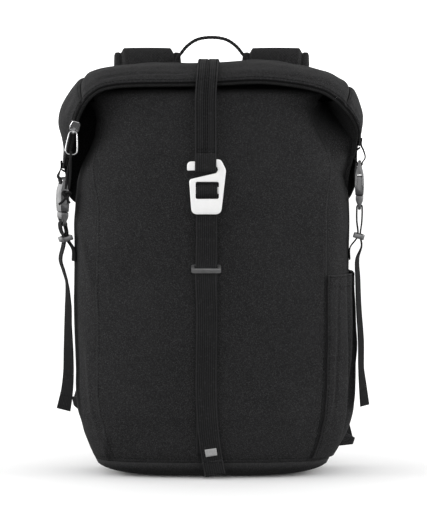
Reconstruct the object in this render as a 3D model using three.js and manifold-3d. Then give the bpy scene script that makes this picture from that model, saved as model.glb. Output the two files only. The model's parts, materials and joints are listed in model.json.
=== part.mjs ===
// A roll-top backpack standing on its base, in millimetres: +X to the viewer's right, +Y to the back, +Z up.
// The origin is on the floor under the middle of the bag, at its widest cross-section.
// The body is sewn from panels that lie on one outline surface. The mouth is folded forward into a hood, whose two
// ends hang down as ears and are pulled down by a buckled strap on each side. A strap with an open hook holds the fold.

import * as THREE from "three";
import { mergeVertices } from "three/addons/utils/BufferGeometryUtils.js";
import Module from "manifold-3d";

const wasm = await Module();
wasm.setup();

// Cloth, seams and running clearances
const CLOTH = 2; // wall of the canvas with its lining
const SEAM_GAP = 0.4; // between two panels that are sewn together
const TOUCH_GAP = 0.3; // between pieces that touch
const WEBBING = 1.6; // thickness of one layer of webbing

// Bag body
const BAG_HALF_WIDTH = 166;
const BAG_HEIGHT = 463; // floor to the rolled-back top of the front panel
const FRONT_DEPTH = 88; // widest plane forward to the middle of the front
const BACK_DEPTH = 72; // widest plane back to the back panel
const BASE_RISE = 19; // height of the seam round the base
const BASE_FLAT = 0.52; // share of the base that lies on the floor
const BASE_FLAT_BACK = 0.9; // the same towards the back
const FRONT_ROUNDNESS = 3.2; // exponent of the front half of the outline
const BACK_ROUNDNESS = 6; // exponent of the squarer back half
const FRONT_SEAM = 0.825; // seam of front and side, as a share of the half width
const RIDGE_SEAM = 0.95; // the same under the ears, where the front folds round the corner
const BACK_SEAM = 0.88;
const BACK_FOAM = 6; // thickness of the stiffened back panel

// Hood: the mouth of the bag folded forward over the front
const EAR_REACH = 20; // how far the hood stands out past the body on each side
const LIP_RISE = 10.4; // lip of the hood above the top of the front panel
const LIP_OVERHANG = 8; // lip in front of the top of the front panel
const HOOD_RISE = 21.5; // crown of the hood above its lip
const BACK_LAP = 38; // how far the hood's back edge reaches below its lip
const TIP_LIP_SETBACK = 34; // the lip lies this much further back at the tips of the ears
const HOOD_HALF_WIDTH = BAG_HALF_WIDTH + EAR_REACH;
const LIP_HEIGHT = BAG_HEIGHT + LIP_RISE;

// Zip
const ZIP_WIDTH = 6.5;
const ZIP_THICKNESS = 1.4;
const SLIDER_WIDTH = 12;
const SLIDER_LENGTH = 16;
const SLIDER_PLATE = 2;
const LUG_HOLE = 3.2;
const LUG_WALL = 1.5;
const LUG_WIDTH = 3;
const PULLER_WIRE = 1.7;
const PULLER_LENGTH = 27;
const PULLER_TOP_WIDTH = 8.5;
const PULLER_BOTTOM_WIDTH = 15;

// Cord on the zip's puller
const CORD = 3;
const CORD_BEND = 6; // radius of the cord's turn over the puller
const CORD_DROP = 36; // from the puller's lower bar to the knot
const KNOT_WIDTH = 13;
const KNOT_HEIGHT = 12;
const KNOT_TAIL = 12;

// Centre strap and its open hook
const STRAP_WIDTH = 25;
const HOOK_WIDTH = 45.9;
const HOOK_HEIGHT = 64.9;
const HOOK_THICKNESS = 4.2;
const HOOK_CENTRE = 349; // height of the hook's middle
const HOOK_SIDE = -5; // the strap hangs a little off the middle
const HOOK_STRAP_SIDE = -6.8; // middle of the webbing round the hook's arm
const HOOK_BAR = 1.6; // thickness of the recessed bar in the hook's slot
const HOOK_STANDOFF = 9.6; // from the front panel to the hook's middle plane
const KEEPER_WIRE = 2.2;
const KEEPER_RISE = 5.6; // height of the keeper's flat wire
const KEEPER_OPENING = 7.4;
const KEEPER_OUT = 6.8; // the keeper's middle in front of the front panel
const TAIL_OUT = 4.4; // the strap's loose end in front of the front panel
const KEEPER_HEIGHT = 252; // height of the keeper on the centre strap
const STRAP_END_HEIGHT = 5; // height of the loose end of the centre strap
const STRAP_ANCHOR_HEIGHT = 30; // where the centre strap is sewn on
const END_TAB = 19; // length of the folded end of a strap
const LABEL_WIDTH = 13.5;
const LABEL_HEIGHT = 10;

// Side straps and their buckles
const SIDE_WEB = 20;
const BUCKLE_WIDTH = 30;
const BUCKLE_THICKNESS = 11;
const SOCKET_LENGTH = 42;
const PLUG_LENGTH = 17;
const BUCKLE_WALL = 2;
const BUCKLE_BAR = 3.4; // the two bars that the webbing wraps
const BUCKLE_SLOT = 5.5;

// Side pocket
const POCKET_HEIGHT = 243;
const POCKET_BULGE = 7.4;
const POCKET_TOP = 0.45; // how much of the bulge is left at the pocket's top edge
const POCKET_FLOOR = 24;

// Back, shoulder straps and handle
const PAD_THICKNESS = 9;
const PAD_WIDTH = 92;
const PAD_HEIGHT = 325;
const PAD_FLOOR = 60;
const PAD_SPACING = 104; // between the middles of the two back pads
const YOKE_HEIGHT = 26;
const YOKE_TOP = 424;
const YOKE_THICKNESS = 4;
const SHOULDER_WIDTH = 82;
const SHOULDER_THICKNESS = 11;
const SHOULDER_TOP = 505; // height of the straps' crest, at the middle of their thickness
const SHOULDER_BACK = 142; // furthest reach of the straps behind the widest plane
const HANDLE_WEB = 16;
const HANDLE_THICKNESS = 3.4;
const HANDLE_TOP = 526;
const HANDLE_HALF_SPAN = 44;
const HANDLE_BACK = 80; // how far behind the widest plane the handle stands
const WING_BACK = 1.16; // tips of the wings that anchor the shoulder straps, as a share of BACK_DEPTH
const WING_THICKNESS = 3;
const ADJUSTER_LENGTH = 30;
const ADJUSTER_WIDTH = 32;
const ADJUSTER_THICKNESS = 5;

// Body cross-sections: rise is a share of BAG_HEIGHT, left and right of BAG_HALF_WIDTH,
// front of FRONT_DEPTH and back of BACK_DEPTH. The narrow rows near the top are the hollows under the ears.
const BODY_SECTIONS = [
  { rise: 0.041, left: 0.849, right: 0.861, front: 0.818, back: 0.93 },
  { rise: 0.08, left: 0.9, right: 0.912, front: 0.888, back: 0.967 },
  { rise: 0.138, left: 0.952, right: 0.958, front: 0.945, back: 0.99 },
  { rise: 0.184, left: 0.982, right: 0.98, front: 0.97, back: 1 },
  { rise: 0.28, left: 0.993, right: 0.994, front: 0.99, back: 1 },
  { rise: 0.44, left: 1, right: 1, front: 1, back: 1 },
  { rise: 0.6, left: 0.998, right: 1, front: 0.996, back: 1 },
  { rise: 0.69, left: 0.992, right: 1, front: 0.988, back: 1 },
  { rise: 0.74, left: 0.982, right: 0.985, front: 0.977, back: 1 },
  { rise: 0.785, left: 0.958, right: 0.96, front: 0.963, back: 1 },
  { rise: 0.825, left: 0.912, right: 0.915, front: 0.945, back: 1 },
  { rise: 0.865, left: 0.862, right: 0.853, front: 0.925, back: 1 },
  { rise: 0.9, left: 0.842, right: 0.8, front: 0.905, back: 1 },
  { rise: 0.935, left: 0.843, right: 0.768, front: 0.885, back: 1 },
  { rise: 0.968, left: 0.884, right: 0.8, front: 0.862, back: 1 },
];

// The top of the front panel turns back under the hood: rise is a share of BAG_HEIGHT, depth of FRONT_DEPTH
// at the middle, width of BAG_HALF_WIDTH on each side.
const FRONT_ROLL = [
  { rise: 0.99, depth: 0.835, left: 0.905, right: 0.85 },
  { rise: 1.0, depth: 0.74, left: 0.88, right: 0.85 },
  { rise: 1.006, depth: 0.4, left: 0.77, right: 0.77 },
  { rise: 1.03, depth: -0.06, left: 0.67, right: 0.67 },
];

// Inside the hood the sides lean in: rise is a share of BAG_HEIGHT, width and depth of the top section's.
const SIDE_TUCK = [
  { rise: 0.974, width: 0.9, depth: 0.88 },
  { rise: 0.988, width: 0.72, depth: 0.7 },
];

// Lip of the hood from the foot of the left ear to the foot of the right ear: across is a share of
// HOOD_HALF_WIDTH and up of LIP_HEIGHT. The rows marked as tips are where the straps pull the ears down.
const LIP_LINE = [
  { across: -0.925, up: 0.672 },
  { across: -0.95, up: 0.729 },
  { across: -0.958, up: 0.781, tip: true },
  { across: -0.93, up: 0.826 },
  { across: -0.909, up: 0.86 },
  { across: -0.891, up: 0.889 },
  { across: -0.865, up: 0.92 },
  { across: -0.826, up: 0.948 },
  { across: -0.774, up: 0.971 },
  { across: -0.715, up: 0.986 },
  { across: -0.626, up: 0.995 },
  { across: -0.497, up: 0.999 },
  { across: -0.303, up: 1 },
  { across: 0, up: 1.002 },
  { across: 0.31, up: 1.007 },
  { across: 0.503, up: 1 },
  { across: 0.632, up: 0.991 },
  { across: 0.729, up: 0.979 },
  { across: 0.813, up: 0.958 },
  { across: 0.877, up: 0.933 },
  { across: 0.929, up: 0.905 },
  { across: 0.955, up: 0.88 },
  { across: 0.955, up: 0.838, tip: true },
  { across: 0.95, up: 0.782 },
  { across: 0.94, up: 0.729 },
  { across: 0.925, up: 0.672 },
];
const LEFT_TIP = LIP_LINE.findIndex((row) => row.tip);
const RIGHT_TIP = LIP_LINE.findLastIndex((row) => row.tip);
const SHOULDER_SEAMS = {
  left: { lip: 6.9, crown: 8.3 },
  right: { lip: 18.8, crown: 18.1 },
};

// Section through the hood from its lip to its back edge: back is a share of its depth. Lift above the lip is a
// share of HOOD_RISE, and drop below it of BACK_LAP.
const HOOD_PROFILE = [
  { back: 0, lift: 0, drop: 0 },
  { back: 0.035, lift: 0.25, drop: 0 },
  { back: 0.16, lift: 0.64, drop: 0 },
  { back: 0.37, lift: 0.94, drop: 0 },
  { back: 0.57, lift: 1, drop: 0 },
  { back: 0.77, lift: 0.82, drop: 0 },
  { back: 0.92, lift: 0.3, drop: 0 },
  { back: 0.985, lift: 0, drop: 0.42 },
  { back: 1, lift: 0, drop: 1 },
];
const MOUTH_ROWS = 4.2; // rows of the profile that the inner layer of the mouth covers

// Creases that the cloth keeps: rise and run are shares of BAG_HEIGHT, across of the half width. A crease is a
// soft ridge that runs from its foot to its head.
const BODY_CREASES = [
  { foot: [-0.84, 0.46], head: [-0.97, 0.67], height: 2.6, spread: 0.05 },
  { foot: [-0.8, 0.16], head: [-0.89, 0.36], height: 2.4, spread: 0.05 },
  { foot: [-0.9, 0.05], head: [-0.83, 0.12], height: 2, spread: 0.05 },
  { foot: [0.86, 0.52], head: [0.9, 0.72], height: 1.8, spread: 0.05 },
];

// Pleats of the side pocket: at is the share of the pocket's girth, depth of POCKET_BULGE, and lean moves the
// pleat forward by this share of the girth from the pocket's top to its floor.
const POCKET_PLEATS = [
  { at: 0.3, depth: 0.35, spread: 0.05, lean: 0.1 },
  { at: 0.52, depth: 0.6, spread: 0.05, lean: 0.12 },
  { at: 0.76, depth: 0.3, spread: 0.06, lean: -0.06 },
];

// Routes of the side straps: out is the distance outside BAG_HALF_WIDTH and front in front of the widest plane,
// in millimetres. up is a share of LIP_HEIGHT, and turn the webbing's turn about its run in degrees.
const SIDE_STRAPS = {
  left: {
    side: -1,
    tip: 0.781,
    top: 0.7555,
    out: 12.5,
    front: 36,
    turn: 14,
    keeperUp: 0.603,
    keeperOut: 9,
    keeperTilt: 72,
    anchorUp: 0.545,
    anchorOut: -0.9,
    loopOut: 13.9,
    tail: [
      { out: 11.8, up: 0.585, front: 36, turn: 14 },
      { out: 15.3, up: 0.55, front: 36, turn: 13 },
      { out: 11.4, up: 0.52, front: 36, turn: 12 },
      { out: 7.6, up: 0.49, front: 36, turn: 10 },
      { out: 6.2, up: 0.43, front: 37, turn: 25 },
      { out: 6.6, up: 0.385, front: 38, turn: 28 },
      { out: 6.4, up: 0.317, front: 39, turn: 38 },
      { out: 6.6, up: 0.259, front: 39, turn: 42 },
      { out: 8.4, up: 0.2155, front: 39, turn: 48 },
      { out: 12.5, up: 0.167, front: 38, turn: 60 },
    ],
  },
  right: {
    side: 1,
    tip: 0.838,
    top: 0.797,
    out: 12,
    front: 26,
    turn: 4,
    keeperUp: 0.608,
    keeperOut: 11.4,
    keeperTilt: 74,
    anchorUp: 0.548,
    anchorOut: 0.4,
    loopOut: 14.2,
    tail: [
      { out: 14.6, up: 0.583, front: 26, turn: 5 },
      { out: 9.6, up: 0.55, front: 27, turn: 14 },
      { out: 10.2, up: 0.5, front: 28, turn: 18 },
      { out: 11.4, up: 0.43, front: 29, turn: 19 },
      { out: 14.2, up: 0.34, front: 30, turn: 22 },
      { out: 14.6, up: 0.27, front: 30, turn: 21 },
      { out: 16.4, up: 0.23, front: 30, turn: 28 },
      { out: 19, up: 0.176, front: 30, turn: 36 },
    ],
  },
};

// Sway of the centre strap's loose end: up is a share of KEEPER_HEIGHT, aside in millimetres from the hook's line.
const TAIL_SWAY = [
  { up: 0.98, aside: -2 },
  { up: 0.8, aside: -0.5 },
  { up: 0.6, aside: -1 },
  { up: 0.42, aside: -1.4 },
  { up: 0.24, aside: 1 },
  { up: 0.13, aside: 4.5 },
  { up: 0.02, aside: 9.5 },
];

// Half of the haul handle, from its sewn foot to its top: across is a share of HANDLE_HALF_SPAN, back of
// HANDLE_BACK and up of the height from the yoke to the handle's top. edge is 0 where it lies flat and 1 on edge.
const HANDLE_ROUTE = [
  { across: 0.55, back: 0.97, up: 0.04, edge: 0.01 },
  { across: 0.62, back: 0.97, up: 0.32, edge: 0.02 },
  { across: 0.82, back: 0.985, up: 0.53, edge: 0.5 },
  { across: 0.99, back: 1, up: 0.69, edge: 1 },
  { across: 0.98, back: 1, up: 0.74, edge: 1 },
  { across: 0.86, back: 1, up: 0.81, edge: 1 },
  { across: 0.68, back: 1, up: 0.9, edge: 1 },
  { across: 0.4, back: 1, up: 0.975, edge: 1 },
  { across: 0, back: 1, up: 1, edge: 1 },
];

// Middle line of a shoulder strap: across is a share of BAG_HALF_WIDTH, back of SHOULDER_BACK, up of SHOULDER_TOP,
// wide of SHOULDER_WIDTH and thick of SHOULDER_THICKNESS.
const SHOULDER_ROUTE = [
  { across: 0.44, back: 0.56, up: 0.79, wide: 0.96, thick: 0.5 },
  { across: 0.445, back: 0.561, up: 0.83, wide: 0.98, thick: 0.5 },
  { across: 0.45, back: 0.59, up: 0.875, wide: 1, thick: 0.75 },
  { across: 0.465, back: 0.63, up: 0.935, wide: 1, thick: 0.95 },
  { across: 0.475, back: 0.71, up: 0.985, wide: 1, thick: 1 },
  { across: 0.485, back: 0.82, up: 1, wide: 1, thick: 1 },
  { across: 0.495, back: 0.92, up: 0.97, wide: 0.98, thick: 1 },
  { across: 0.51, back: 0.97, up: 0.89, wide: 0.95, thick: 1 },
  { across: 0.535, back: 0.99, up: 0.78, wide: 0.9, thick: 1 },
  { across: 0.57, back: 1, up: 0.66, wide: 0.84, thick: 1 },
  { across: 0.61, back: 0.98, up: 0.54, wide: 0.78, thick: 1 },
  { across: 0.65, back: 0.94, up: 0.43, wide: 0.72, thick: 0.95 },
  { across: 0.69, back: 0.88, up: 0.335, wide: 0.62, thick: 0.8 },
];

// The cord's loop over the puller: side and front are millimetres from the middle of the puller's lower bar,
// drop is millimetres below the top of the loop. The points are chosen by hand.
const CORD_ROUTE = [
  { side: -1.9, front: 1.2, drop: 44.2 },
  { side: -1.9, front: 1.4, drop: 38 },
  { side: -1.8, front: 1.0, drop: 31 },
  { side: -1.6, front: -0.6, drop: 24 },
  { side: -1.1, front: -3.0, drop: 17 },
  { side: -0.6, front: -5.2, drop: 11.5 },
  { side: -0.2, front: -5.9, drop: 6.6 },
  { side: 0, front: -4.3, drop: 2.1 },
  { side: 0, front: 0, drop: 0 },
  { side: 0, front: 4.3, drop: 2.1 },
  { side: 0.2, front: 5.9, drop: 6.6 },
  { side: 0.6, front: 5.4, drop: 11.5 },
  { side: 1.1, front: 4.0, drop: 17 },
  { side: 1.6, front: 2.4, drop: 24 },
  { side: 1.8, front: 1.6, drop: 31 },
  { side: 1.9, front: 1.4, drop: 38 },
  { side: 1.9, front: 1.2, drop: 44.2 },
];

// Materials
const CANVAS = { color: 0x1c1c1d, roughness: 0.92, metalness: 0 };
const WEB = { color: 0x1a1a1b, roughness: 0.85, metalness: 0 };
const FOAM_MESH = { color: 0x222224, roughness: 0.95, metalness: 0 };
const HOOK_METAL = { color: 0xf2f2f0, roughness: 0.35, metalness: 0.2 };
const GREY_METAL = { color: 0x8d8e90, roughness: 0.35, metalness: 0.9 };
const ZIP_METAL = { color: 0xc4c6c8, roughness: 0.3, metalness: 1 };
const ZIP_TAPE = { color: 0x202021, roughness: 0.8, metalness: 0 };
const LABEL = { color: 0xb8b8b8, roughness: 0.4, metalness: 0 };
const CORD_BLACK = { color: 0x1d1d1d, roughness: 0.9, metalness: 0 };
const PLASTIC = { color: 0x161617, roughness: 0.5, metalness: 0 };

const degrees = THREE.MathUtils.degToRad;
const lerp = THREE.MathUtils.lerp;
const smoothstep = THREE.MathUtils.smoothstep;
const point = (x, y, z) => new THREE.Vector3(x, y, z);
const range = (count) => Array.from({ length: count + 1 }, (_, i) => i);

/** The value of a table's column at a place along its key column, on a smooth curve through the rows. */
function tableAt(table, key, name, at) {
  const last = table.length - 2;
  const rising = table[last + 1][key] > table[0][key] ? 1 : -1;
  let i = 0;
  while (i < last && (at - table[i + 1][key]) * rising > 0) i += 1;
  const slope = (k) => {
    const a = table[Math.max(k - 1, 0)];
    const b = table[Math.min(k + 1, table.length - 1)];
    return (b[name] - a[name]) / (b[key] - a[key]);
  };
  const [a, b] = [table[i], table[i + 1]];
  const span = b[key] - a[key];
  const t = THREE.MathUtils.clamp((at - a[key]) / span, 0, 1);
  const smooth = t * t * (3 - 2 * t);
  const start = a[name] + slope(i) * span * t;
  const end = b[name] - slope(i + 1) * span * (1 - t);
  return lerp(start, end, smooth);
}

/** A geometry from points and triangles, with its faces turned outwards. */
function closedGeometry(points, triangles) {
  const volume = triangles.reduce((sum, [a, b, c]) => {
    return sum + points[a].dot(points[b].clone().cross(points[c]));
  }, 0);
  const facing = volume < 0 ? triangles.map(([a, b, c]) => [a, c, b]) : triangles;
  const geometry = new THREE.BufferGeometry().setFromPoints(points);
  geometry.setIndex(facing.flat());
  geometry.computeVertexNormals();
  return geometry;
}

/** Unit normals of a grid of points, as columns cross rows. */
function gridNormals(grid) {
  return grid.map((row, i) =>
    row.map((_, j) => {
      const across = row[Math.min(j + 1, row.length - 1)].clone().sub(row[Math.max(j - 1, 0)]);
      const up = grid[Math.min(i + 1, grid.length - 1)][j].clone().sub(grid[Math.max(i - 1, 0)][j]);
      return across.cross(up).normalize();
    }),
  );
}

/** The grid moved along its normals, by one distance or by a function of row and column. */
function offsetGrid(grid, distance) {
  const normals = gridNormals(grid);
  const by = typeof distance === "function" ? distance : () => distance;
  return grid.map((row, i) => row.map((p, j) => p.clone().addScaledVector(normals[i][j], by(i, j))));
}

/** A closed sheet between two grids of points of the same size. */
function sheetBetween(outer, inner) {
  const [rows, columns] = [outer.length, outer[0].length];
  const points = [...outer.flat(), ...inner.flat()];
  const at = (layer, i, j) => layer * rows * columns + i * columns + j;
  const triangles = [];
  const quad = (a, b, c, d) => triangles.push([a, b, c], [a, c, d]);
  for (let i = 0; i < rows - 1; i += 1) {
    for (let j = 0; j < columns - 1; j += 1) {
      quad(at(0, i, j), at(0, i, j + 1), at(0, i + 1, j + 1), at(0, i + 1, j));
      quad(at(1, i, j), at(1, i + 1, j), at(1, i + 1, j + 1), at(1, i, j + 1));
    }
    quad(at(0, i, 0), at(0, i + 1, 0), at(1, i + 1, 0), at(1, i, 0));
    quad(at(0, i, columns - 1), at(1, i, columns - 1), at(1, i + 1, columns - 1), at(0, i + 1, columns - 1));
  }
  for (let j = 0; j < columns - 1; j += 1) {
    quad(at(0, 0, j), at(1, 0, j), at(1, 0, j + 1), at(0, 0, j + 1));
    quad(at(0, rows - 1, j), at(0, rows - 1, j + 1), at(1, rows - 1, j + 1), at(1, rows - 1, j));
  }
  return closedGeometry(points, triangles);
}

/** A cloth sheet whose outer face is the grid. */
function cloth(grid, thickness = CLOTH) {
  return sheetBetween(grid, offsetGrid(grid, -thickness));
}

/** The points moved straight in from the body's outline by a distance. */
function insetBody(grid, distance) {
  return grid.map((row) =>
    row.map((p) => {
      const z = THREE.MathUtils.clamp(p.z, sectionHeights[0], sectionHeights[sectionHeights.length - 1]);
      const roundness = p.y < 0 ? FRONT_ROUNDNESS : BACK_ROUNDNESS;
      const [wide, deep] = [halfWidth(p.x, z), p.y < 0 ? frontDepth(z) : backDepth(z)];
      const out = point(
        (Math.sign(p.x) * Math.abs(p.x / wide) ** (roundness - 1)) / wide,
        (Math.sign(p.y) * Math.abs(p.y / deep) ** (roundness - 1)) / deep,
        0,
      );
      return p.clone().addScaledVector(out.normalize(), -distance);
    }),
  );
}

/** A closed solid through rings of points with the same count, capped flat at both ends. */
function ringSolid(rings) {
  const sides = rings[0].length;
  const points = rings.flat();
  const triangles = [];
  for (let i = 0; i < rings.length - 1; i += 1) {
    for (let j = 0; j < sides; j += 1) {
      const k = (j + 1) % sides;
      const [a, b] = [i * sides, (i + 1) * sides];
      triangles.push([a + j, a + k, b + k], [a + j, b + k, b + j]);
    }
  }
  for (const [start, turn] of [[0, 1], [(rings.length - 1) * sides, -1]]) {
    for (let j = 1; j < sides - 1; j += 1) {
      triangles.push(turn > 0 ? [start, start + j + 1, start + j] : [start, start + j, start + j + 1]);
    }
  }
  return closedGeometry(points, triangles);
}

/** Directions of travel at each point of a route. */
function travel(route) {
  return route.map((_, i) => {
    const ahead = route[Math.min(i + 1, route.length - 1)];
    return ahead.clone().sub(route[Math.max(i - 1, 0)]).normalize();
  });
}

/** Webbing of a width and thickness that follows a route. across gives the direction of its width at each point. */
function ribbon(route, across, width, thickness) {
  const along = travel(route);
  const rings = route.map((p, i) => {
    const wide = across(i, along[i]).clone();
    wide.addScaledVector(along[i], -wide.dot(along[i])).normalize();
    const thick = along[i].clone().cross(wide).normalize();
    return [[-1, -1], [1, -1], [1, 1], [-1, 1]].map(([w, t]) =>
      p.clone().addScaledVector(wide, (w * width) / 2).addScaledVector(thick, (t * thickness) / 2),
    );
  });
  return ringSolid(rings);
}

/** Points on a smooth curve through the given ones. */
function smoothRoute(points, steps) {
  return new THREE.CatmullRomCurve3(points, false, "centripetal").getPoints(steps);
}

/** A closed geometry as a solid that can be cut and joined. */
function solidFrom(geometry) {
  const bare = geometry.clone();
  bare.deleteAttribute("normal");
  bare.deleteAttribute("uv");
  const merged = mergeVertices(bare, 1e-4);
  const mesh = new wasm.Mesh({
    numProp: 3,
    vertProperties: new Float32Array(merged.getAttribute("position").array),
    triVerts: new Uint32Array(merged.getIndex().array),
  });
  return new wasm.Manifold(mesh);
}

/** The geometry of a solid that was cut or joined. */
function geometryFrom(solid) {
  const mesh = solid.getMesh();
  const geometry = new THREE.BufferGeometry();
  geometry.setAttribute("position", new THREE.BufferAttribute(new Float32Array(mesh.vertProperties), 3));
  geometry.setIndex(new THREE.BufferAttribute(new Uint32Array(mesh.triVerts), 1));
  geometry.computeVertexNormals();
  return geometry;
}

/** Joins the first list of geometries or solids, and cuts the second list out of them. */
function joinAndCut(joined, cut = []) {
  const asSolid = (shape) => (shape.isBufferGeometry ? solidFrom(shape) : shape);
  const whole = joined.map(asSolid).reduce((a, b) => a.add(b));
  return geometryFrom(cut.map(asSolid).reduce((a, b) => a.subtract(b), whole));
}

/** A box of the given size with its middle at the given place. */
function boxAt(size, place) {
  return new THREE.BoxGeometry(...size).translate(...place);
}

/** A flat outline with rounded corners. Each corner is { x, y, r }. */
function roundedShape(corners) {
  const shape = new THREE.Shape();
  corners.forEach((corner, i) => {
    const before = corners[(i + corners.length - 1) % corners.length];
    const after = corners[(i + 1) % corners.length];
    const here = new THREE.Vector2(corner.x, corner.y);
    const toward = (other) => new THREE.Vector2(other.x, other.y).sub(here).setLength(corner.r).add(here);
    const [start, end] = [toward(before), toward(after)];
    if (i === 0) shape.moveTo(start.x, start.y);
    else shape.lineTo(start.x, start.y);
    shape.quadraticCurveTo(here.x, here.y, end.x, end.y);
  });
  shape.closePath();
  return shape;
}

/** The rounded rectangle of a width and height about the origin. */
function roundedRectangle(width, height, r) {
  const [x, y] = [width / 2, height / 2];
  return roundedShape([{ x: -x, y: -y, r }, { x, y: -y, r }, { x, y, r }, { x: -x, y, r }]);
}

/** A shape drawn in X and Z, extruded to a thickness along Y about the origin. */
function plate(shape, thickness, bevel = 0, curveSegments = 3) {
  const depth = thickness - 2 * bevel;
  const settings = { depth, curveSegments, bevelEnabled: bevel > 0 };
  if (bevel > 0) {
    Object.assign(settings, { bevelThickness: bevel, bevelSize: bevel, bevelOffset: -bevel, bevelSegments: 1 });
  }
  return new THREE.ExtrudeGeometry(shape, settings).translate(0, 0, -depth / 2).rotateX(Math.PI / 2);
}

const sectionAt = (name, rise) => tableAt(BODY_SECTIONS, "rise", name, rise);
const halfWidth = (side, z) => BAG_HALF_WIDTH * sectionAt(side < 0 ? "left" : "right", z / BAG_HEIGHT);
const frontDepth = (z) => FRONT_DEPTH * sectionAt("front", z / BAG_HEIGHT);
const backDepth = (z) => BACK_DEPTH * sectionAt("back", z / BAG_HEIGHT);

/** How far the creases lift the cloth at a place on the front, given across as a share of the half width. */
function creaseLift(share, z) {
  const rise = z / BAG_HEIGHT;
  return BODY_CREASES.reduce((sum, { foot, head, height, spread }) => {
    const t = (rise - foot[1]) / (head[1] - foot[1]);
    const fade = smoothstep(t, -0.25, 0.2) * (1 - smoothstep(t, 0.8, 1.25));
    const aside = (share - lerp(foot[0], head[0], t)) / spread;
    return sum + height * fade * Math.exp(-aside * aside);
  }, 0);
}

/** A point of the body's outline. Angle 0 is the right side, 90 degrees the front and 180 the left side. */
function outlinePoint(z, angle) {
  const [c, s] = [Math.cos(angle), Math.sin(angle)];
  const roundness = s >= 0 ? FRONT_ROUNDNESS : BACK_ROUNDNESS;
  const wide = halfWidth(c, z);
  const deep = s >= 0 ? frontDepth(z) : backDepth(z);
  const x = Math.sign(c) * wide * Math.abs(c) ** (2 / roundness);
  const y = -Math.sign(s) * deep * Math.abs(s) ** (2 / roundness);
  const lift = s > 0 ? creaseLift(x / wide, z) : 0;
  return point(x + lift * c, y - lift * s, z);
}

/** Points at equal spacing along the outline between two angles, with half a seam's gap left at each end. */
function outlineRow(z, from, to, count) {
  const dense = range(72).map((i) => outlinePoint(z, lerp(from, to, i / 72)));
  const run = [0];
  for (let i = 1; i < dense.length; i += 1) run.push(run[i - 1] + dense[i].distanceTo(dense[i - 1]));
  const total = run[run.length - 1];
  let k = 0;
  return range(count).map((i) => {
    const at = lerp(SEAM_GAP / 2, total - SEAM_GAP / 2, i / count);
    while (k < run.length - 2 && run[k + 1] < at) k += 1;
    return dense[k].clone().lerp(dense[k + 1], (at - run[k]) / (run[k + 1] - run[k]));
  });
}

/** Angle on the outline of the seam between front and side. It moves out to the corner under the ears. */
function frontSeamAngle(z) {
  const share = lerp(FRONT_SEAM, RIDGE_SEAM, smoothstep(z / BAG_HEIGHT, 0.68, 0.87));
  return Math.acos(share ** (FRONT_ROUNDNESS / 2));
}

const BACK_SEAM_ANGLE = Math.acos(BACK_SEAM ** (BACK_ROUNDNESS / 2));
const sectionHeights = BODY_SECTIONS.map((row) => row.rise * BAG_HEIGHT);

/** Front panel: the outline between the two front seams, whose top turns back under the hood. */
function frontPanel() {
  const columns = 14;
  const rows = sectionHeights.map((z) => {
    const seam = frontSeamAngle(z);
    return outlineRow(z + SEAM_GAP, Math.PI - seam, seam, columns);
  });
  const top = rows[rows.length - 1];
  const topDepth = -top[columns / 2].y;
  const roll = FRONT_ROLL.map(({ rise, depth, left, right }) =>
    top.map((p, j) => {
      const share = (2 * j) / columns - 1;
      const x = BAG_HALF_WIDTH * RIDGE_SEAM * (share < 0 ? left : right) * share;
      const back = topDepth - depth * FRONT_DEPTH;
      return point(x, Math.max(p.y + back, -depth * FRONT_DEPTH), BAG_HEIGHT * rise);
    }),
  );
  const rolledNormals = gridNormals([top, ...roll]).slice(1);
  const rolledInner = roll.map((row, i) =>
    row.map((p, j) => p.clone().addScaledVector(rolledNormals[i][j].setX(0).normalize(), -CLOTH)),
  );
  return sheetBetween([...rows, ...roll], [...insetBody(rows, CLOTH), ...rolledInner]);
}

/** Side panel from the front seam to the back seam. */
function sidePanel(side) {
  const columns = 7;
  const row = (z) => {
    const [front, back] = [frontSeamAngle(z), -BACK_SEAM_ANGLE];
    return side > 0
      ? outlineRow(z, front, back, columns)
      : outlineRow(z, Math.PI - back, Math.PI - front, columns);
  };
  const rows = sectionHeights.map((z) => row(z + SEAM_GAP));
  const top = rows[rows.length - 1];
  const tuck = (grid) =>
    SIDE_TUCK.map(({ rise, width, depth }, i) =>
      grid.map((p) => point(p.x * width, p.y * depth, BAG_HEIGHT * rise - (grid === top ? 0 : CLOTH * 0.6 * (i + 1)))),
    );
  const inner = insetBody(rows, CLOTH);
  return sheetBetween([...rows, ...tuck(top)], [...inner, ...tuck(inner[inner.length - 1])]);
}

/** Stiffened back panel between the two back seams. */
function backPanel() {
  const rows = sectionHeights.map((z) =>
    outlineRow(z + SEAM_GAP, -BACK_SEAM_ANGLE, BACK_SEAM_ANGLE - Math.PI, 6),
  );
  return sheetBetween(rows, insetBody(rows, BACK_FOAM).map((row) => row.map((p) => point(p.x * 0.985, p.y, p.z))));
}

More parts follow.
